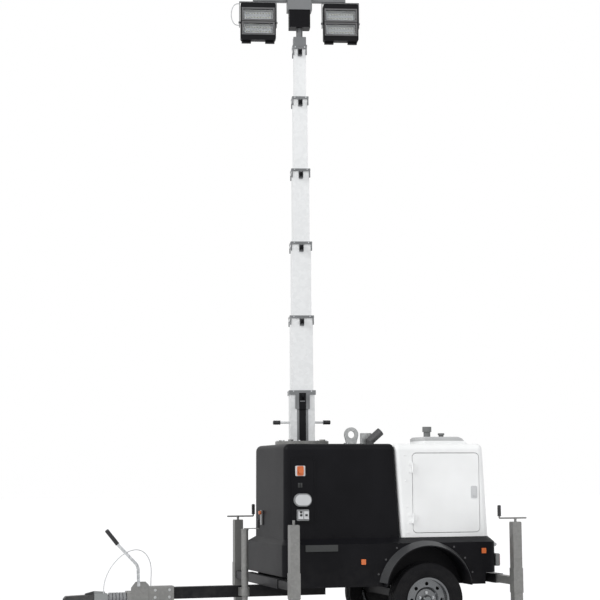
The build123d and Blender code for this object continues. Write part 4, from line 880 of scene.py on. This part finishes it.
# %% Tyres
tyre_ribs = (
    # distance from the middle, rib width, blocks, phase
    (-0.062, 0.026, 60, 0.00),
    (-0.031, 0.024, 66, 0.03),
    (0.000, 0.024, 66, 0.07),
    (0.031, 0.024, 66, 0.01),
    (0.062, 0.026, 60, 0.05),
)
sidewall = (
    # in from the side face, out from the bead
    (0.030, -0.001), (0.026, 0.014), (0.010, 0.030), (0.0085, 0.036), (0.004, 0.038),
    (0.0005, 0.056), (0.003, 0.058), (0.002, 0.074), (0.006, 0.094), (0.009, 0.096),
)
shoulder_inset = 0.016
shoulder_drop = 0.017
bead_inset = 0.010
rib_depth = 0.008
groove_rise = 0.001
block_share = 0.82
block_corner_rise = 0.0005
crown_fall = 0.35


def make_tyre(side_name):
    """Tyre with sidewall bands, grooves and tread blocks, in the place of the plain ring."""
    low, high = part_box("tyre_" + side_name)
    rim_low, rim_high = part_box("rim_" + side_name)
    centre = (low + high) / 2
    outer = (high.x - low.x) / 2
    half = (high.y - low.y) / 2
    bead = (rim_high.x - rim_low.x) / 2 - bead_inset
    groove = outer - rib_depth
    tread_half = tyre_ribs[-1][0] + tyre_ribs[-1][1] / 2
    flank = [(half - inwards, bead + outwards) for inwards, outwards in sidewall]
    flank.append((half - shoulder_inset, outer - shoulder_drop))
    profile = [(-along, radius) for along, radius in flank]
    profile += [(-tread_half, groove), (0.0, groove + groove_rise), (tread_half, groove)]
    profile += reversed(flank)
    pieces = [turned_piece("carcass", profile, centre, (0, 1, 0), segments=96, closed=True)]
    for offset, width, count, phase in tyre_ribs:
        crown = outer - block_corner_rise - crown_fall * offset ** 2 / half
        values = {
            "Count": count,
            "Radius": crown - rib_depth / 2,
            "Block Size": (rib_depth, block_share * 2 * math.pi * crown / count, width),
            "Phase": phase,
            "Place": tuple(centre + Vector((0, offset, 0))),
            "Material": finishes["tyre_rubber"],
        }
        pieces.append(run_tree("tread_rib", ring_tree, values))
    tyre = join_meshes("tyre_" + side_name + "_treaded", pieces)
    dress(tyre, "wheel_" + side_name, "tyre_rubber", finishes["tyre_rubber"])
    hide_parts("tyre_" + side_name)
    print(tyre.name, "faces:", len(tyre.data.polygons))


for side_name, side in both_sides:
    make_tyre(side_name)

# %% [markdown]
# ## Wheel bolts, valves and brake drums
# Five bolts hold each steel wheel to its hub, and a short rubber valve stands in the rim's well.
# Behind the wheel sits its brake drum, which closes the view through the wheel's holes. Bolts could
# be turned like the valve and the drum, but the screw tree already makes a head on a washer.

# %% Wheel bolts, valves and brake drums
bolt_count = 5
bolt_circle_radius = 0.063
bolt_face_y = 0.020
valve_profile = ((0.0, 0.0), (0.0, 0.005), (0.022, 0.004), (0.024, 0.003), (0.034, 0.003), (0.034, 0.0))
drum_profile = ((-0.060, 0.0), (-0.060, 0.155), (-0.012, 0.160), (-0.010, 0.0))


def wheel_spoke(degrees):
    """Unit vector in the wheel's plane, counted upwards from +X."""
    angle = math.radians(degrees)
    return Vector((math.cos(angle), 0, math.sin(angle)))


def dress_wheel(side_name, side):
    """Bolts, valve and brake drum of one wheel."""
    body = "wheel_" + side_name
    low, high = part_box("tyre_" + side_name)
    hub = (low + high) / 2
    bolt_face = hub + Vector((0, side * bolt_face_y, 0))
    bolts = []
    for index in range(bolt_count):
        spoke = wheel_spoke(90 + 360 / bolt_count * index)
        bolts.append((bolt_face + spoke * bolt_circle_radius, (0, side, 0)))
    screw_heads("wheel_bolts_" + side_name, bolts, body, "lever_steel", 0.0095, 0.016, washer=1.35)
    valve_foot = hub + Vector((0.130, side * 0.018, 0.100))
    valve = turned_piece("valve_" + side_name, valve_profile, valve_foot, (0.15, side, 0.1), segments=16)
    dress(valve, body, "soft_rubber")
    low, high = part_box("rim_" + side_name)
    drum = turned_piece("brake_drum_" + side_name, drum_profile, (low + high) / 2, (0, side, 0), segments=40)
    dress(drum, body, "frame_grey")
    print("bolts, valve and drum on", body)


for side_name, side in both_sides:
    dress_wheel(side_name, side)

# %% [markdown]
# ## Wheel arch flares
# Each wheel arch ends in a sloping flare that runs from the skirt's side out over the tyre. Its
# section is the same all round, so it could be a curve with a bevel object. Here the section is
# swept by a short loop instead, which leaves a closed mesh with plain flat ends.

# %% Wheel arch flares
guard_low, guard_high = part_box("mudguards")
arch_centre = Vector(((guard_low.x + guard_high.x) / 2, 0, 0.395))
skirt_side_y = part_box("lower_skirt")[1].y
flare_width = 0.040
flare_steps = 40
flare_start, flare_end = 12, 168
flare_seat, lip_seat = 0.002, 0.001
lip_rise, lip_drop = 0.002, 0.006


def fill_flares(shape):
    """Sloping bands over both wheels, from the skirt's side out to the arch's lip."""
    lip_radius = guard_high.z - arch_centre.z
    skirt_y = skirt_side_y - flare_seat
    lip_y = guard_high.y - lip_seat
    section = (
        # distance from the machine's middle, radius
        (skirt_y, lip_radius + flare_width), (lip_y, lip_radius + lip_rise),
        (lip_y, lip_radius - lip_drop), (skirt_y, lip_radius - lip_drop),
    )
    for side in (1, -1):
        rings = []
        for step in range(flare_steps + 1):
            spoke = wheel_spoke(flare_start + (flare_end - flare_start) * step / flare_steps)
            places = [arch_centre + spoke * radius + Vector((0, side * y, 0)) for y, radius in section]
            rings.append([shape.verts.new(place) for place in places])
        bridge_rings(shape, rings)
        shape.faces.new(rings[0])
        shape.faces.new(rings[-1])


# The flares' dark grey is a painted highlight; the arches themselves are black.
flares = dress(new_piece("arch_flares", fill_flares), "trailer", "black_plastic", flare_painted_highlight_finish)
print(flares.name, "faces:", len(flares.data.polygons))

# %% [markdown]
# ## Floodlights
# Each lamp has two windows. Behind each lies a bright tray with two rows of small emitters, and the
# glass is held by a frame with eight screws. A picture of the optics on the glass would be cheaper,
# but real trays catch the light from every side and show when the lamp tilts.

# %% Floodlight sizes
lamps = (
    # name, side of the mast along the crossbar
    ("front_lower", 1),
    ("rear_lower", -1),
    ("front_upper", 1),
    ("rear_upper", -1),
)
pane_width = 0.272
pane_height = 0.094
pane_bar = 0.038
pane_offset = (pane_height + pane_bar) / 2
case_front_y = 0.055
tray_front_y = 0.040
tray_depth = 0.030


def lamp_middle(lamp_name, side):
    """Middle of a lamp's face, with the mast straight."""
    glass_low, glass_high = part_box("lamp_glass_" + lamp_name)
    return Vector((mast_x + side * lamp_spacing, 0, (glass_low.z + glass_high.z) / 2))


def window_corners(middle, inset):
    """(lowest x, highest x, lowest z, highest z) of a lamp's lower and upper window."""
    half_width, half_height = pane_width / 2 - inset, pane_height / 2 - inset
    return [
        (middle.x - half_width, middle.x + half_width, pane_z - half_height, pane_z + half_height)
        for pane_z in (middle.z - pane_offset, middle.z + pane_offset)
    ]


print("the panes of a lamp lie", round(2 * pane_offset, 3), "apart")

# %% Floodlight optics
tray_clearance = 0.001
tray_rim = 0.002
tray_edge = 0.0005
tray_slope = 0.012
tray_wall = 0.0015
emitter_margin = Vector((0.060, 0.056))
emitter_radius = 0.0070


def add_tray(shape, low_x, high_x, low_z, high_z):
    """Adds an open tray with sloping sides and a solid wall."""
    back_y = tray_front_y - tray_depth
    rings = []
    for inset, y in (
        (tray_rim + tray_slope, back_y), (tray_rim, tray_front_y),
        (tray_edge, tray_front_y), (tray_slope, back_y - tray_wall),
    ):
        x0, x1, z0, z1 = low_x + inset, high_x - inset, low_z + inset, high_z - inset
        rings.append([shape.verts.new((x, y, z)) for x, z in ((x0, z0), (x1, z0), (x1, z1), (x0, z1))])
    bridge_rings(shape, rings)
    shape.faces.new(rings[0])
    shape.faces.new(rings[-1])


def make_optics(lamp_name, side):
    """Bright trays and rows of emitters behind a lamp's two windows."""
    body = "floodlight_" + lamp_name
    middle = lamp_middle(lamp_name, side)

    def fill_trays(shape):
        for corners in window_corners(middle, tray_clearance):
            add_tray(shape, *corners)

    trays = new_piece("reflectors_" + lamp_name, fill_trays)
    dress(trays, body, "lamp_black", reflector_finish, on_mast=True)
    rows = []
    for level in (-1, 1):
        values = {
            "Width": pane_width - emitter_margin.x,
            "Height": pane_height - emitter_margin.y,
            "Columns": 9,
            "Rows": 2,
            "Lens Radius": emitter_radius,
            "Place": (middle.x, tray_front_y - tray_depth, middle.z + level * pane_offset),
            "Material": emitter_finish,
        }
        rows.append(run_tree("emitters", lens_tree, values))
    dress(join_meshes("emitters_" + lamp_name, rows), body, "lamp_black", emitter_finish, on_mast=True)


for lamp_name, side in lamps:
    make_optics(lamp_name, side)
print("lamps with optics:", len(lamps))

# %% Floodlight frames
frame_border = 0.016
frame_thickness = 0.004
frame_rounding = 0.0012
frame_seat = 0.0005
screw_columns = (-0.5, -0.17, 0.17, 0.5)


def add_window_frame(shape, low_x, high_x, low_z, high_z):
    """Adds a flat frame round one window, its face standing a little proud."""
    face_y = case_front_y - frame_seat
    bars = (
        ((low_x - frame_border, low_z - frame_border), (high_x + frame_border, low_z)),
        ((low_x - frame_border, high_z), (high_x + frame_border, high_z + frame_border)),
        ((low_x - frame_border, low_z), (low_x, high_z)),
        ((high_x, low_z), (high_x + frame_border, high_z)),
    )
    for (x0, z0), (x1, z1) in bars:
        add_block(shape, (x0, face_y, z0), (x1, face_y + frame_thickness, z1), frame_rounding)


def make_frames(lamp_name, side):
    """Window frames with their screws."""
    body = "floodlight_" + lamp_name
    middle = lamp_middle(lamp_name, side)

    def fill_frames(shape):
        for corners in window_corners(middle, 0.0):
            add_window_frame(shape, *corners)

    frames = new_piece("window_frames_" + lamp_name, fill_frames)
    dress(frames, body, "lamp_black", window_finish, on_mast=True)
    screw_y = case_front_y + frame_thickness - frame_seat
    screw_rise = pane_offset + pane_height / 2 + frame_border / 2
    screws = []
    for share in screw_columns:
        for level in (-1, 1):
            place = middle + Vector((share * (pane_width + frame_border), screw_y, level * screw_rise))
            screws.append((place, (0, 1, 0)))
    name = "window_screws_" + lamp_name
    screw_heads(name, screws, body, "head_steel", 0.0036, 0.003, washer=1.2, sides=12, on_mast=True)


for lamp_name, side in lamps:
    make_frames(lamp_name, side)
print("screws in each lamp:", 2 * len(screw_columns))

# %% [markdown]
# ## Rubber grips
# The crank handles, the mast's turning handles and the handbrake end in black grips with shallow
# ribs. A bump map would leave their outline smooth, so one turned profile makes them all, a little
# larger than the plain cylinder that they cover.

# %% Grip recipe
rib_pitch = 0.011
collar_length = 0.004
collar_outline = ((0.0, 0.0), (0.0, 1.12), (0.003, 1.16))
rib_outline = ((0.0, 1.0), (0.35, 1.07), (0.75, 1.07))
tip_outline = ((-0.002, 0.98), (0.0015, 0.75), (0.003, 0.0))


def make_grip(name, start, end, radius, body, on_mast=False):
    """Ribbed grip from start to end. An outline is (place along, share of the radius) points."""
    start, end = Vector(start), Vector(end)
    length = (end - start).length
    ribs = round(length / rib_pitch)
    pitch = (length - 2 * collar_length) / ribs
    profile = [(along, share * radius) for along, share in collar_outline]
    for rib in range(ribs):
        rib_start = collar_length + rib * pitch
        profile += [(rib_start + along * pitch, share * radius) for along, share in rib_outline]
    profile += [(length + beyond, share * radius) for beyond, share in tip_outline]
    grip = turned_piece(name, profile, start, end - start, segments=24)
    dress(grip, body, "soft_rubber", crisp_angle=50, on_mast=on_mast)
    print(name, "ribs:", ribs)


# %% Grips
crank_inset = 0.014
crank_grip_length = 0.093
front_crank_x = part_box("outrigger_front_right")[0].x + crank_inset
rear_crank_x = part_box("outrigger_rear_left")[1].x - crank_inset
crank_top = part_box("outrigger_front_right")[1].z
leg_low, leg_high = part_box("jack_leg_front_left")
jack_y = (leg_low.y + leg_high.y) / 2
cranks = (
    # name, place along x, side
    ("front_right", front_crank_x, -1),
    ("rear_left", rear_crank_x, 1),
    ("rear_right", rear_crank_x, -1),
)
for corner, grip_x, side in cranks:
    top = Vector((grip_x, side * jack_y, crank_top))
    bottom = top - Vector((0, 0, crank_grip_length))
    make_grip("crank_grip_" + corner, bottom, top, 0.0148, "arm_" + corner)

handle_z = 1.880
handle_reach = 0.257
grip_length = 0.063
for grip_name, way in (("turn_grip_front", 1), ("turn_grip_rear", -1)):
    start = (mast_x + way * (handle_reach - grip_length), 0, handle_z)
    end = (mast_x + way * (handle_reach + 0.001), 0, handle_z)
    make_grip(grip_name, start, end, 0.0178, "mast_turning_base", on_mast=True)

lever_y = 0.052
make_grip("handbrake_grip", (1.486, lever_y, 0.828), (1.583, lever_y, 0.948), 0.0168, "trailer")
tube_low, tube_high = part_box("jockey_tube")
jockey_top = Vector((tube_low.x + 0.012, 0.112, tube_high.z))
make_grip("jockey_grip", jockey_top - Vector((0, 0, 0.072)), jockey_top, 0.0128, "trailer")

# %% [markdown]
# ## Mast details
# A black strip closes the rope slot in the turning base, between two thin rails. Each section's top
# carries a guide band with eight screws, and under it a bracket with a pulley, over which the
# hoisting rope runs to the next section. The moving sections also have guide legs below the band.
# Six sections could be drawn one by one. Here each piece has one function that works for every
# section, from the section's number, its half width and its top.

# %% Mast sections: sizes
base_half = 0.110
half_step = 0.011
collar_thickness = 0.008
section_bodies = ("mast_turning_base", "mast_1", "mast_2", "mast_3", "mast_4", "mast_5_with_head")


def section_face(index):
    """Distance from the mast's axis to the outside of a section's collar."""
    return base_half - half_step * index + collar_thickness


def section_top(index):
    """Height of a section's top, read from the frame."""
    node_name = "mast_base" if index == 0 else f"mast_stage_{index}"
    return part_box(node_name)[1].z


print("tops of the sections:", [round(section_top(index), 3) for index in range(len(section_bodies))])

# %% Slot strip
strip_width = 0.062
strip_bottom = 1.700
strip_top = section_top(0) - 0.020
strip_ends = (strip_bottom, strip_top)
plate_ends = (section_top(0) - 0.172, section_top(0) - 0.024)
stop_ends = (section_top(0) - 0.103, section_top(0) - 0.094)
stop_width = 0.044
rail_width = 0.020
rail_offset = strip_width / 2 + 0.009


def fill_strip(shape):
    """Strip in the slot, and its upper stretch in front of the collar."""
    face_y = section_face(0)
    add_bar(shape, mast_x, strip_width, (base_half - 0.004, base_half + 0.0015), strip_ends, 0.0008)
    add_bar(shape, mast_x, strip_width, (face_y, face_y + 0.0045), plate_ends, 0.0008)


def fill_strip_rails(shape):
    """Rails beside the strip, and the short stop across its upper stretch."""
    face_y = section_face(0)
    for rail_x in (mast_x - rail_offset, mast_x + rail_offset):
        add_bar(shape, rail_x, rail_width, (base_half - 0.002, base_half + 0.003), strip_ends, 0.001)
    add_bar(shape, mast_x, stop_width, (face_y, face_y + 0.006), stop_ends, 0.001)


strip = new_piece("slot_strip", fill_strip)
dress(strip, "mast_turning_base", "soft_rubber", finishes["lamp_black"], on_mast=True)
dress(new_piece("slot_strip_rails", fill_strip_rails), "mast_turning_base", "head_steel", on_mast=True)
print("slot strip length:", round(strip_top - strip_bottom, 3))

# %% Mast sections: guide bands and legs
band_thickness = 0.0015
band_seat = 0.0005
base_band_height = 0.040
upper_band_height = 0.024
leg_width = 0.012
leg_thickness = 0.003
leg_ends = (-0.085, -0.010)


def make_guide_band(index, body):
    """Square band round the top of a section's collar."""
    outer, inner = section_face(index) + band_thickness, section_face(index) - band_seat
    high_z = section_top(index) - band_seat
    low_z = section_top(index) - (upper_band_height if index else base_band_height)

    def fill_band(shape):
        rings = []
        for reach, z in ((outer, low_z), (outer, high_z), (inner, high_z), (inner, low_z)):
            corners = ((reach, reach), (-reach, reach), (-reach, -reach), (reach, -reach))
            rings.append([shape.verts.new((mast_x + x, y, z)) for x, y in corners])
        bridge_rings(shape, rings, closed=True)

    dress(new_piece(f"guide_band_{index}", fill_band), body, "head_steel", on_mast=True)


def make_guide_legs(index, body):
    """Four short legs below a moving section's band, at the corners of its left and right face."""
    face, top_z = section_face(index), section_top(index)

    def fill_legs(shape):
        for way in (-1, 1):
            for side in (-1, 1):
                leg_y = side * (face - band_seat)
                add_bar(
                    shape, mast_x + way * (face - 0.005), leg_width, (leg_y, leg_y + side * leg_thickness),
                    [top_z + end for end in leg_ends], 0.0008,
                )

    dress(new_piece(f"guide_legs_{index}", fill_legs), body, "head_steel", on_mast=True)


for index, body in enumerate(section_bodies):
    make_guide_band(index, body)
    if index:
        make_guide_legs(index, body)
print("guide bands:", len(section_bodies))

# %% Mast sections: rope brackets and pulleys
base_bracket = (0.130, 0.150)
upper_bracket = (0.042, 0.076)
bracket_drop = 0.019
bracket_corner = 0.008
bracket_thickness = 0.003
pulley_drop = 0.056
pulley_radius = 0.022
pulley_reach = 0.0255
groove_radius = pulley_radius - 0.005
half_pulley = ((0.009, 0.0), (0.009, pulley_radius), (0.005, pulley_radius), (0.002, groove_radius))
pulley_profile = [(-along, radius) for along, radius in half_pulley] + list(reversed(half_pulley))
cheek_offset = 0.014
cheek_thickness = 0.003
cheek_half_height = 0.026
cheek_reach = (0.002, 0.032)


def make_rope_bracket(index, body):
    """Plate on a section's collar, with two cheeks and the pulley between them."""
    face, top_z = section_face(index), section_top(index)
    pulley_z = top_z - pulley_drop
    width, height = upper_bracket if index else base_bracket

    def fill_bracket(shape):
        middle = (mast_x, face, top_z - bracket_drop - height / 2)
        add_plate(shape, width, height, bracket_corner, middle, 1, bracket_thickness)

    def fill_cheeks(shape):
        y_ends = [face + reach for reach in cheek_reach]
        z_ends = (pulley_z - cheek_half_height, pulley_z + cheek_half_height)
        for cheek_x in (mast_x - cheek_offset, mast_x + cheek_offset):
            add_bar(shape, cheek_x, cheek_thickness, y_ends, z_ends, 0.001)

    dress(new_piece(f"rope_bracket_{index}", fill_bracket), body, "head_steel", on_mast=True)
    dress(new_piece(f"pulley_cheeks_{index}", fill_cheeks), body, "frame_grey", on_mast=True)
    axle = (mast_x, face + pulley_reach, pulley_z)
    pulley = turned_piece(f"rope_pulley_{index}", pulley_profile, axle, (1, 0, 0), segments=28)
    dress(pulley, body, "frame_grey", on_mast=True)


for index, body in enumerate(section_bodies):
    make_rope_bracket(index, body)
print("pulleys:", len(section_bodies))

# %% Mast sections: collar screws
screw_spread = 0.68
screw_drop = 0.009


def make_collar_screws(index, body):
    """Two screws on each side of a section's guide band."""
    face = section_face(index)
    reach = face + band_thickness
    screw_z = section_top(index) - screw_drop
    screws = []
    for across in (-screw_spread * face, screw_spread * face):
        for way in (-1, 1):
            screws.append((Vector((mast_x + across, way * reach, screw_z)), (0, way, 0)))
            screws.append((Vector((mast_x + way * reach, across, screw_z)), (way, 0, 0)))
    screw_heads(f"collar_screws_{index}", screws, body, "lever_steel", 0.0042, 0.0035, on_mast=True)


for index, body in enumerate(section_bodies):
    make_collar_screws(index, body)
print("collar screws:", 8 * len(section_bodies))

# %% [markdown]
# ## Screws on the machine
# Rows of screw heads show how the shells, the arches, the roof fittings and the towing gear are
# held. They could be scattered by hand, but real screws stand at even steps, so each set stands in
# straight rows or on a circle, and a short loop works out its places.

# %% Screws on the sides
shell_half_width = 0.500
belt_z = 0.884


def mirrored_rows(half_width, *rows):
    """(place, facing) pairs on both sides. Each row is (first x, z), (last x, z), count."""
    points = []
    for side in (1, -1):
        for (first_x, first_z), (last_x, last_z), count in rows:
            first = Vector((first_x, side * half_width, first_z))
            last = Vector((last_x, side * half_width, last_z))
            points += [(first.lerp(last, index / (count - 1)), (0, side, 0)) for index in range(count)]
    return points


front_rows = mirrored_rows(shell_half_width, ((0.04, belt_z), (-0.86, belt_z), 6))
screw_heads("front_shell_screws", front_rows, "trailer", "black_plastic", 0.007, 0.005, 1.3, 16)
rear_rows = mirrored_rows(shell_half_width, ((-1.010, 0.90), (-0.985, 1.58), 4))
screw_heads("rear_shell_screws", rear_rows, "trailer", "white_plastic", 0.007, 0.004, 1.3, 16)
clamp_half_width = 0.052
towing_rows = mirrored_rows(clamp_half_width, *(((1.030, z), (1.155, z), 2) for z in (0.368, 0.430)))
screw_heads("towing_bolts", towing_rows, "trailer", "galvanised", 0.008, 0.007, finish=eye_finish)
print("screws in the side rows:", len(front_rows) + len(rear_rows) + len(towing_rows))

# %% Screws round the arches and on the roof
arch_screw_radius = 0.465
arch_screw_steps = 8
arch_screw_start, arch_screw_end = 20, 160
skirt_shoulder_z = 0.78
arch_screws = []
for side in (1, -1):
    for step in range(arch_screw_steps + 1):
        spoke = wheel_spoke(arch_screw_start + (arch_screw_end - arch_screw_start) * step / arch_screw_steps)
        place = arch_centre + Vector((0, side * skirt_side_y, 0)) + spoke * arch_screw_radius
        if place.z < skirt_shoulder_z:
            arch_screws.append((place, (0, side, 0)))
screw_heads("arch_screws", arch_screws, "trailer", "galvanised", 0.0065, 0.006, 1.4, finish=exhaust_finish)

ring_screw_count = 8
ring_screw_radius = 0.222
ring_face_z = 1.7105
ring_screws = []
for index in range(ring_screw_count):
    angle = 2 * math.pi * (index + 0.5) / ring_screw_count
    spoke = Vector((math.cos(angle), math.sin(angle), 0))
    ring_screws.append((Vector((mast_x, 0, ring_face_z)) + spoke * ring_screw_radius, (0, 0, 1)))
screw_heads("roof_ring_screws", ring_screws, "trailer", "lever_steel", 0.009, 0.008)

eye_foot_z = 1.691
eye_insets = (0.240, 0.020)
eye_spread = 0.034
eye_front_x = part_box("lifting_eye")[1].x
eye_places = [(eye_front_x - inset, y, eye_foot_z) for inset in eye_insets for y in (-eye_spread, eye_spread)]
eye_screws = [(Vector(place), (0, 0, 1)) for place in eye_places]
screw_heads("lifting_eye_screws", eye_screws, "trailer", "lever_steel", 0.009, 0.008)
print("screws round the arches:", len(arch_screws), "on the roof:", len(ring_screws) + len(eye_screws))

# %% [markdown]
# ## Control panel
# Under the stop button sits a pair of small rocker switches. An orange guard plate surrounds the
# button itself, the covers below have small latches, and the panel is held by four screws. It
# carries no lettering. A painted map could stand for all this, but the panel faces the camera, and
# small solid pieces catch an edge of light as real ones do.

# %% Control panel details
panel_face = 0.505
panel_middle_x = -0.020
switch_z = 1.322
switch_spread = 0.011
stop_z = 1.445
cover_face = 0.5425
switch_parts = (
    # width, start and end out from the panel, half height, rounding
    (0.018, (0.000, 0.004), 0.020, 0.0012),
    (0.010, (0.003, 0.010), 0.010, 0.002),
)
latch_places = ((-0.016, 1.066), (-0.016, 1.092), (-0.064, 1.066))
latch_width = 0.022
latch_half_height = 0.009
latch_thickness = 0.004
guard_size = (0.058, 0.082, 0.010)
guard_reach = 0.0095
guard_thickness = 0.004
screw_face = 0.5085
corner_columns = (0.045, -0.145)
corner_rows = (1.015, 1.540)


def fill_switches(shape):
    """Two rocker switches, each a base with a rocker on it."""
    for switch_x in (panel_middle_x - switch_spread, panel_middle_x + switch_spread):
        for width, reach, half_height, rounding in switch_parts:
            y_ends = [panel_face + out for out in reach]
            z_ends = (switch_z - half_height, switch_z + half_height)
            add_bar(shape, switch_x, width, y_ends, z_ends, rounding)


def fill_stop_guard(shape):
    """Rounded plate round the stop button. Its size is (width, height, corner radius)."""
    middle = (panel_middle_x, panel_face + guard_reach, stop_z)
    add_plate(shape, *guard_size, middle, 1, guard_thickness)


def fill_cover_latches(shape):
    """Small latches on the covers."""
    for latch_x, latch_z in latch_places:
        z_ends = (latch_z - latch_half_height, latch_z + latch_half_height)
        add_bar(shape, latch_x, latch_width, (cover_face, cover_face + latch_thickness), z_ends, 0.0015)


dress(new_piece("panel_switches", fill_switches), "trailer", "grey_plastic", dark_strip_finish)
dress(new_piece("stop_guard", fill_stop_guard), "trailer", "orange_plastic")
dress(new_piece("cover_latches", fill_cover_latches), "trailer", "grey_plastic", dark_strip_finish)
panel_corners = [((x, screw_face, z), (0, 1, 0)) for x in corner_columns for z in corner_rows]
screw_heads("panel_screws", panel_corners, "trailer", "black_plastic", 0.004, 0.003, 1.3, 12)
print("latches on the covers:", len(latch_places), "screws:", len(panel_corners))

# %% [markdown]
# ## Door latches and lamp lenses
# A flush paddle latch holds the rear edge of each service door. The tail lamps get their coloured
# lenses: red at the outer end, amber and clear beside it. One lens with three painted bands would
# do from afar, but three blocks show the seams between the colours.

# %% Door latches
latch_x = -1.640
latch_z = 1.250
paddle_rise = 0.006
latch_frame = (0.060, 0.110, 0.012)
latch_paddle = (0.036, 0.078, 0.008)
frame_depth = 0.004
paddle_depth = 0.007


def make_latch(side_name, side):
    """Frame and paddle on a door's outer face. Their sizes are (width, height, corner radius)."""
    def fill_latch(shape):
        face = Vector((latch_x, side * shell_half_width, latch_z))
        paddle_face = face + Vector((0, side * frame_depth, paddle_rise))
        add_plate(shape, *latch_frame, face, side, frame_depth)
        add_plate(shape, *latch_paddle, paddle_face, side, paddle_depth)

    dress(new_piece("door_latch_" + side_name, fill_latch), "door_" + side_name, "grey_plastic")


for side_name, side in both_sides:
    make_latch(side_name, side)
print("door latches:", len(both_sides))

# %% Tail lamp lenses
lens_colours = (
    # name, share of the width from the outer end, colour
    ("red", (0.00, 0.45), (0.42, 0.012, 0.010)),
    ("amber", (0.46, 0.72), (0.56, 0.17, 0.012)),
    ("clear", (0.73, 1.00), (0.62, 0.63, 0.64)),
)
tail_low, tail_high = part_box("tail_lamps")
tail_width = 0.158
tail_border = 0.006
lens_proud = 0.006
lens_seat = 0.001
lens_rounding = 0.002
dark_share = 0.8


def make_tail_lens(lens_name, ends, colour):
    """Lens of one colour on both tail lamps."""
    dark = tuple(dark_share * value for value in colour)
    finish = make_finish(lens_name + "_lens", dark, colour, roughness=(0.08, 0.16), relief=0.05)

    def fill_lens(shape):
        for side in (1, -1):
            y0, y1 = (side * (tail_high.y - tail_border - end * tail_width) for end in ends)
            low = (tail_low.x - lens_proud, min(y0, y1), tail_low.z + tail_border)
            high = (tail_low.x + lens_seat, max(y0, y1), tail_high.z - tail_border)
            add_block(shape, low, high, lens_rounding)

    dress(new_piece("tail_lens_" + lens_name, fill_lens), "trailer", "orange_plastic", finish)


for facts in lens_colours:
    make_tail_lens(*facts)
print("tail lenses:", len(lens_colours))

# %% [markdown]
# ## Light, floor and backdrop
# The picture has a plain white studio ground. A broad low light comes from the front of the machine
# and makes its nose paler than its side. More lamps could whiten the ground, but they would wash
# out the object. Instead the world and the floor look white to the camera and in reflections,
# through Light Path, while they light the object at a plain level. The floor keeps its soft shadow.

# %% White ground
world_level = 0.50
floor_glow = 0.22
floor_radius = 90.0
floor_depth = 0.002
white = (1.0, 1.0, 1.0, 1.0)


def see_through_camera(tree):
    """Node that is 1 for what the camera sees directly, in a reflection or through glass, else 0."""
    path = add_node(tree, "ShaderNodeLightPath")
    direct = add_node(tree, "ShaderNodeMath", operation="MAXIMUM")
    any_way = add_node(tree, "ShaderNodeMath", operation="MAXIMUM")
    join_sockets(
        tree,
        (path, "Is Camera Ray", direct, 0),
        (path, "Is Glossy Ray", direct, 1),
        (direct, 0, any_way, 0),
        (path, "Is Transmission Ray", any_way, 1),
    )
    return any_way


def make_world():
    """White world that lights at world_level and shows as plain white."""
    world = bpy.data.worlds.new("studio")
    world.use_nodes = True
    tree = world.node_tree
    background = tree.nodes["Background"]
    set_values(background, {"Color": white})
    level = add_node(tree, "ShaderNodeMapRange", {"To Min": world_level, "To Max": 1.0})
    seen = see_through_camera(tree)
    join_sockets(tree, (seen, 0, level, "Value"), (level, "Result", background, "Strength"))
    bpy.context.scene.world = world


def make_floor():
    """Wide pale disc at the wheels' foot, glowing just enough to meet the white backdrop."""
    disc = ((-floor_depth, 0.0), (-floor_depth, floor_radius))
    floor = turned_piece("studio_floor", disc, (0, 0, 0), (0, 0, 1), segments=96)
    values = {
        "Base Color": (0.84, 0.84, 0.85, 1.0),
        "Roughness": 0.9,
        "Specular IOR Level": 0.1,
        "Emission Color": white,
    }
    material, tree, shader = new_material("studio_floor", values)
    glow = add_node(tree, "ShaderNodeMapRange", {"To Min": 0.0, "To Max": floor_glow})
    seen = see_through_camera(tree)
    join_sockets(tree, (seen, 0, glow, "Value"), (glow, "Result", shader, "Emission Strength"))
    floor.data.materials.append(material)


make_world()
make_floor()
print("floor radius:", floor_radius)

# %% Lamps
def make_sun(name, towards, strength, spread):
    """Soft sun that shines from the given direction."""
    data = bpy.data.lights.new(name, "SUN")
    data.energy = strength
    data.angle = math.radians(spread)
    sun = new_object(name, data)
    sun.rotation_euler = Vector(towards).to_track_quat("Z", "Y").to_euler()


make_sun("front_key", (0.80, 0.22, 0.55), 1.9, 25)
make_sun("side_fill", (-0.15, 0.85, 0.55), 0.9, 50)
bpy.context.scene.view_settings.view_transform = "Standard"
print("suns:", len(bpy.data.lights))
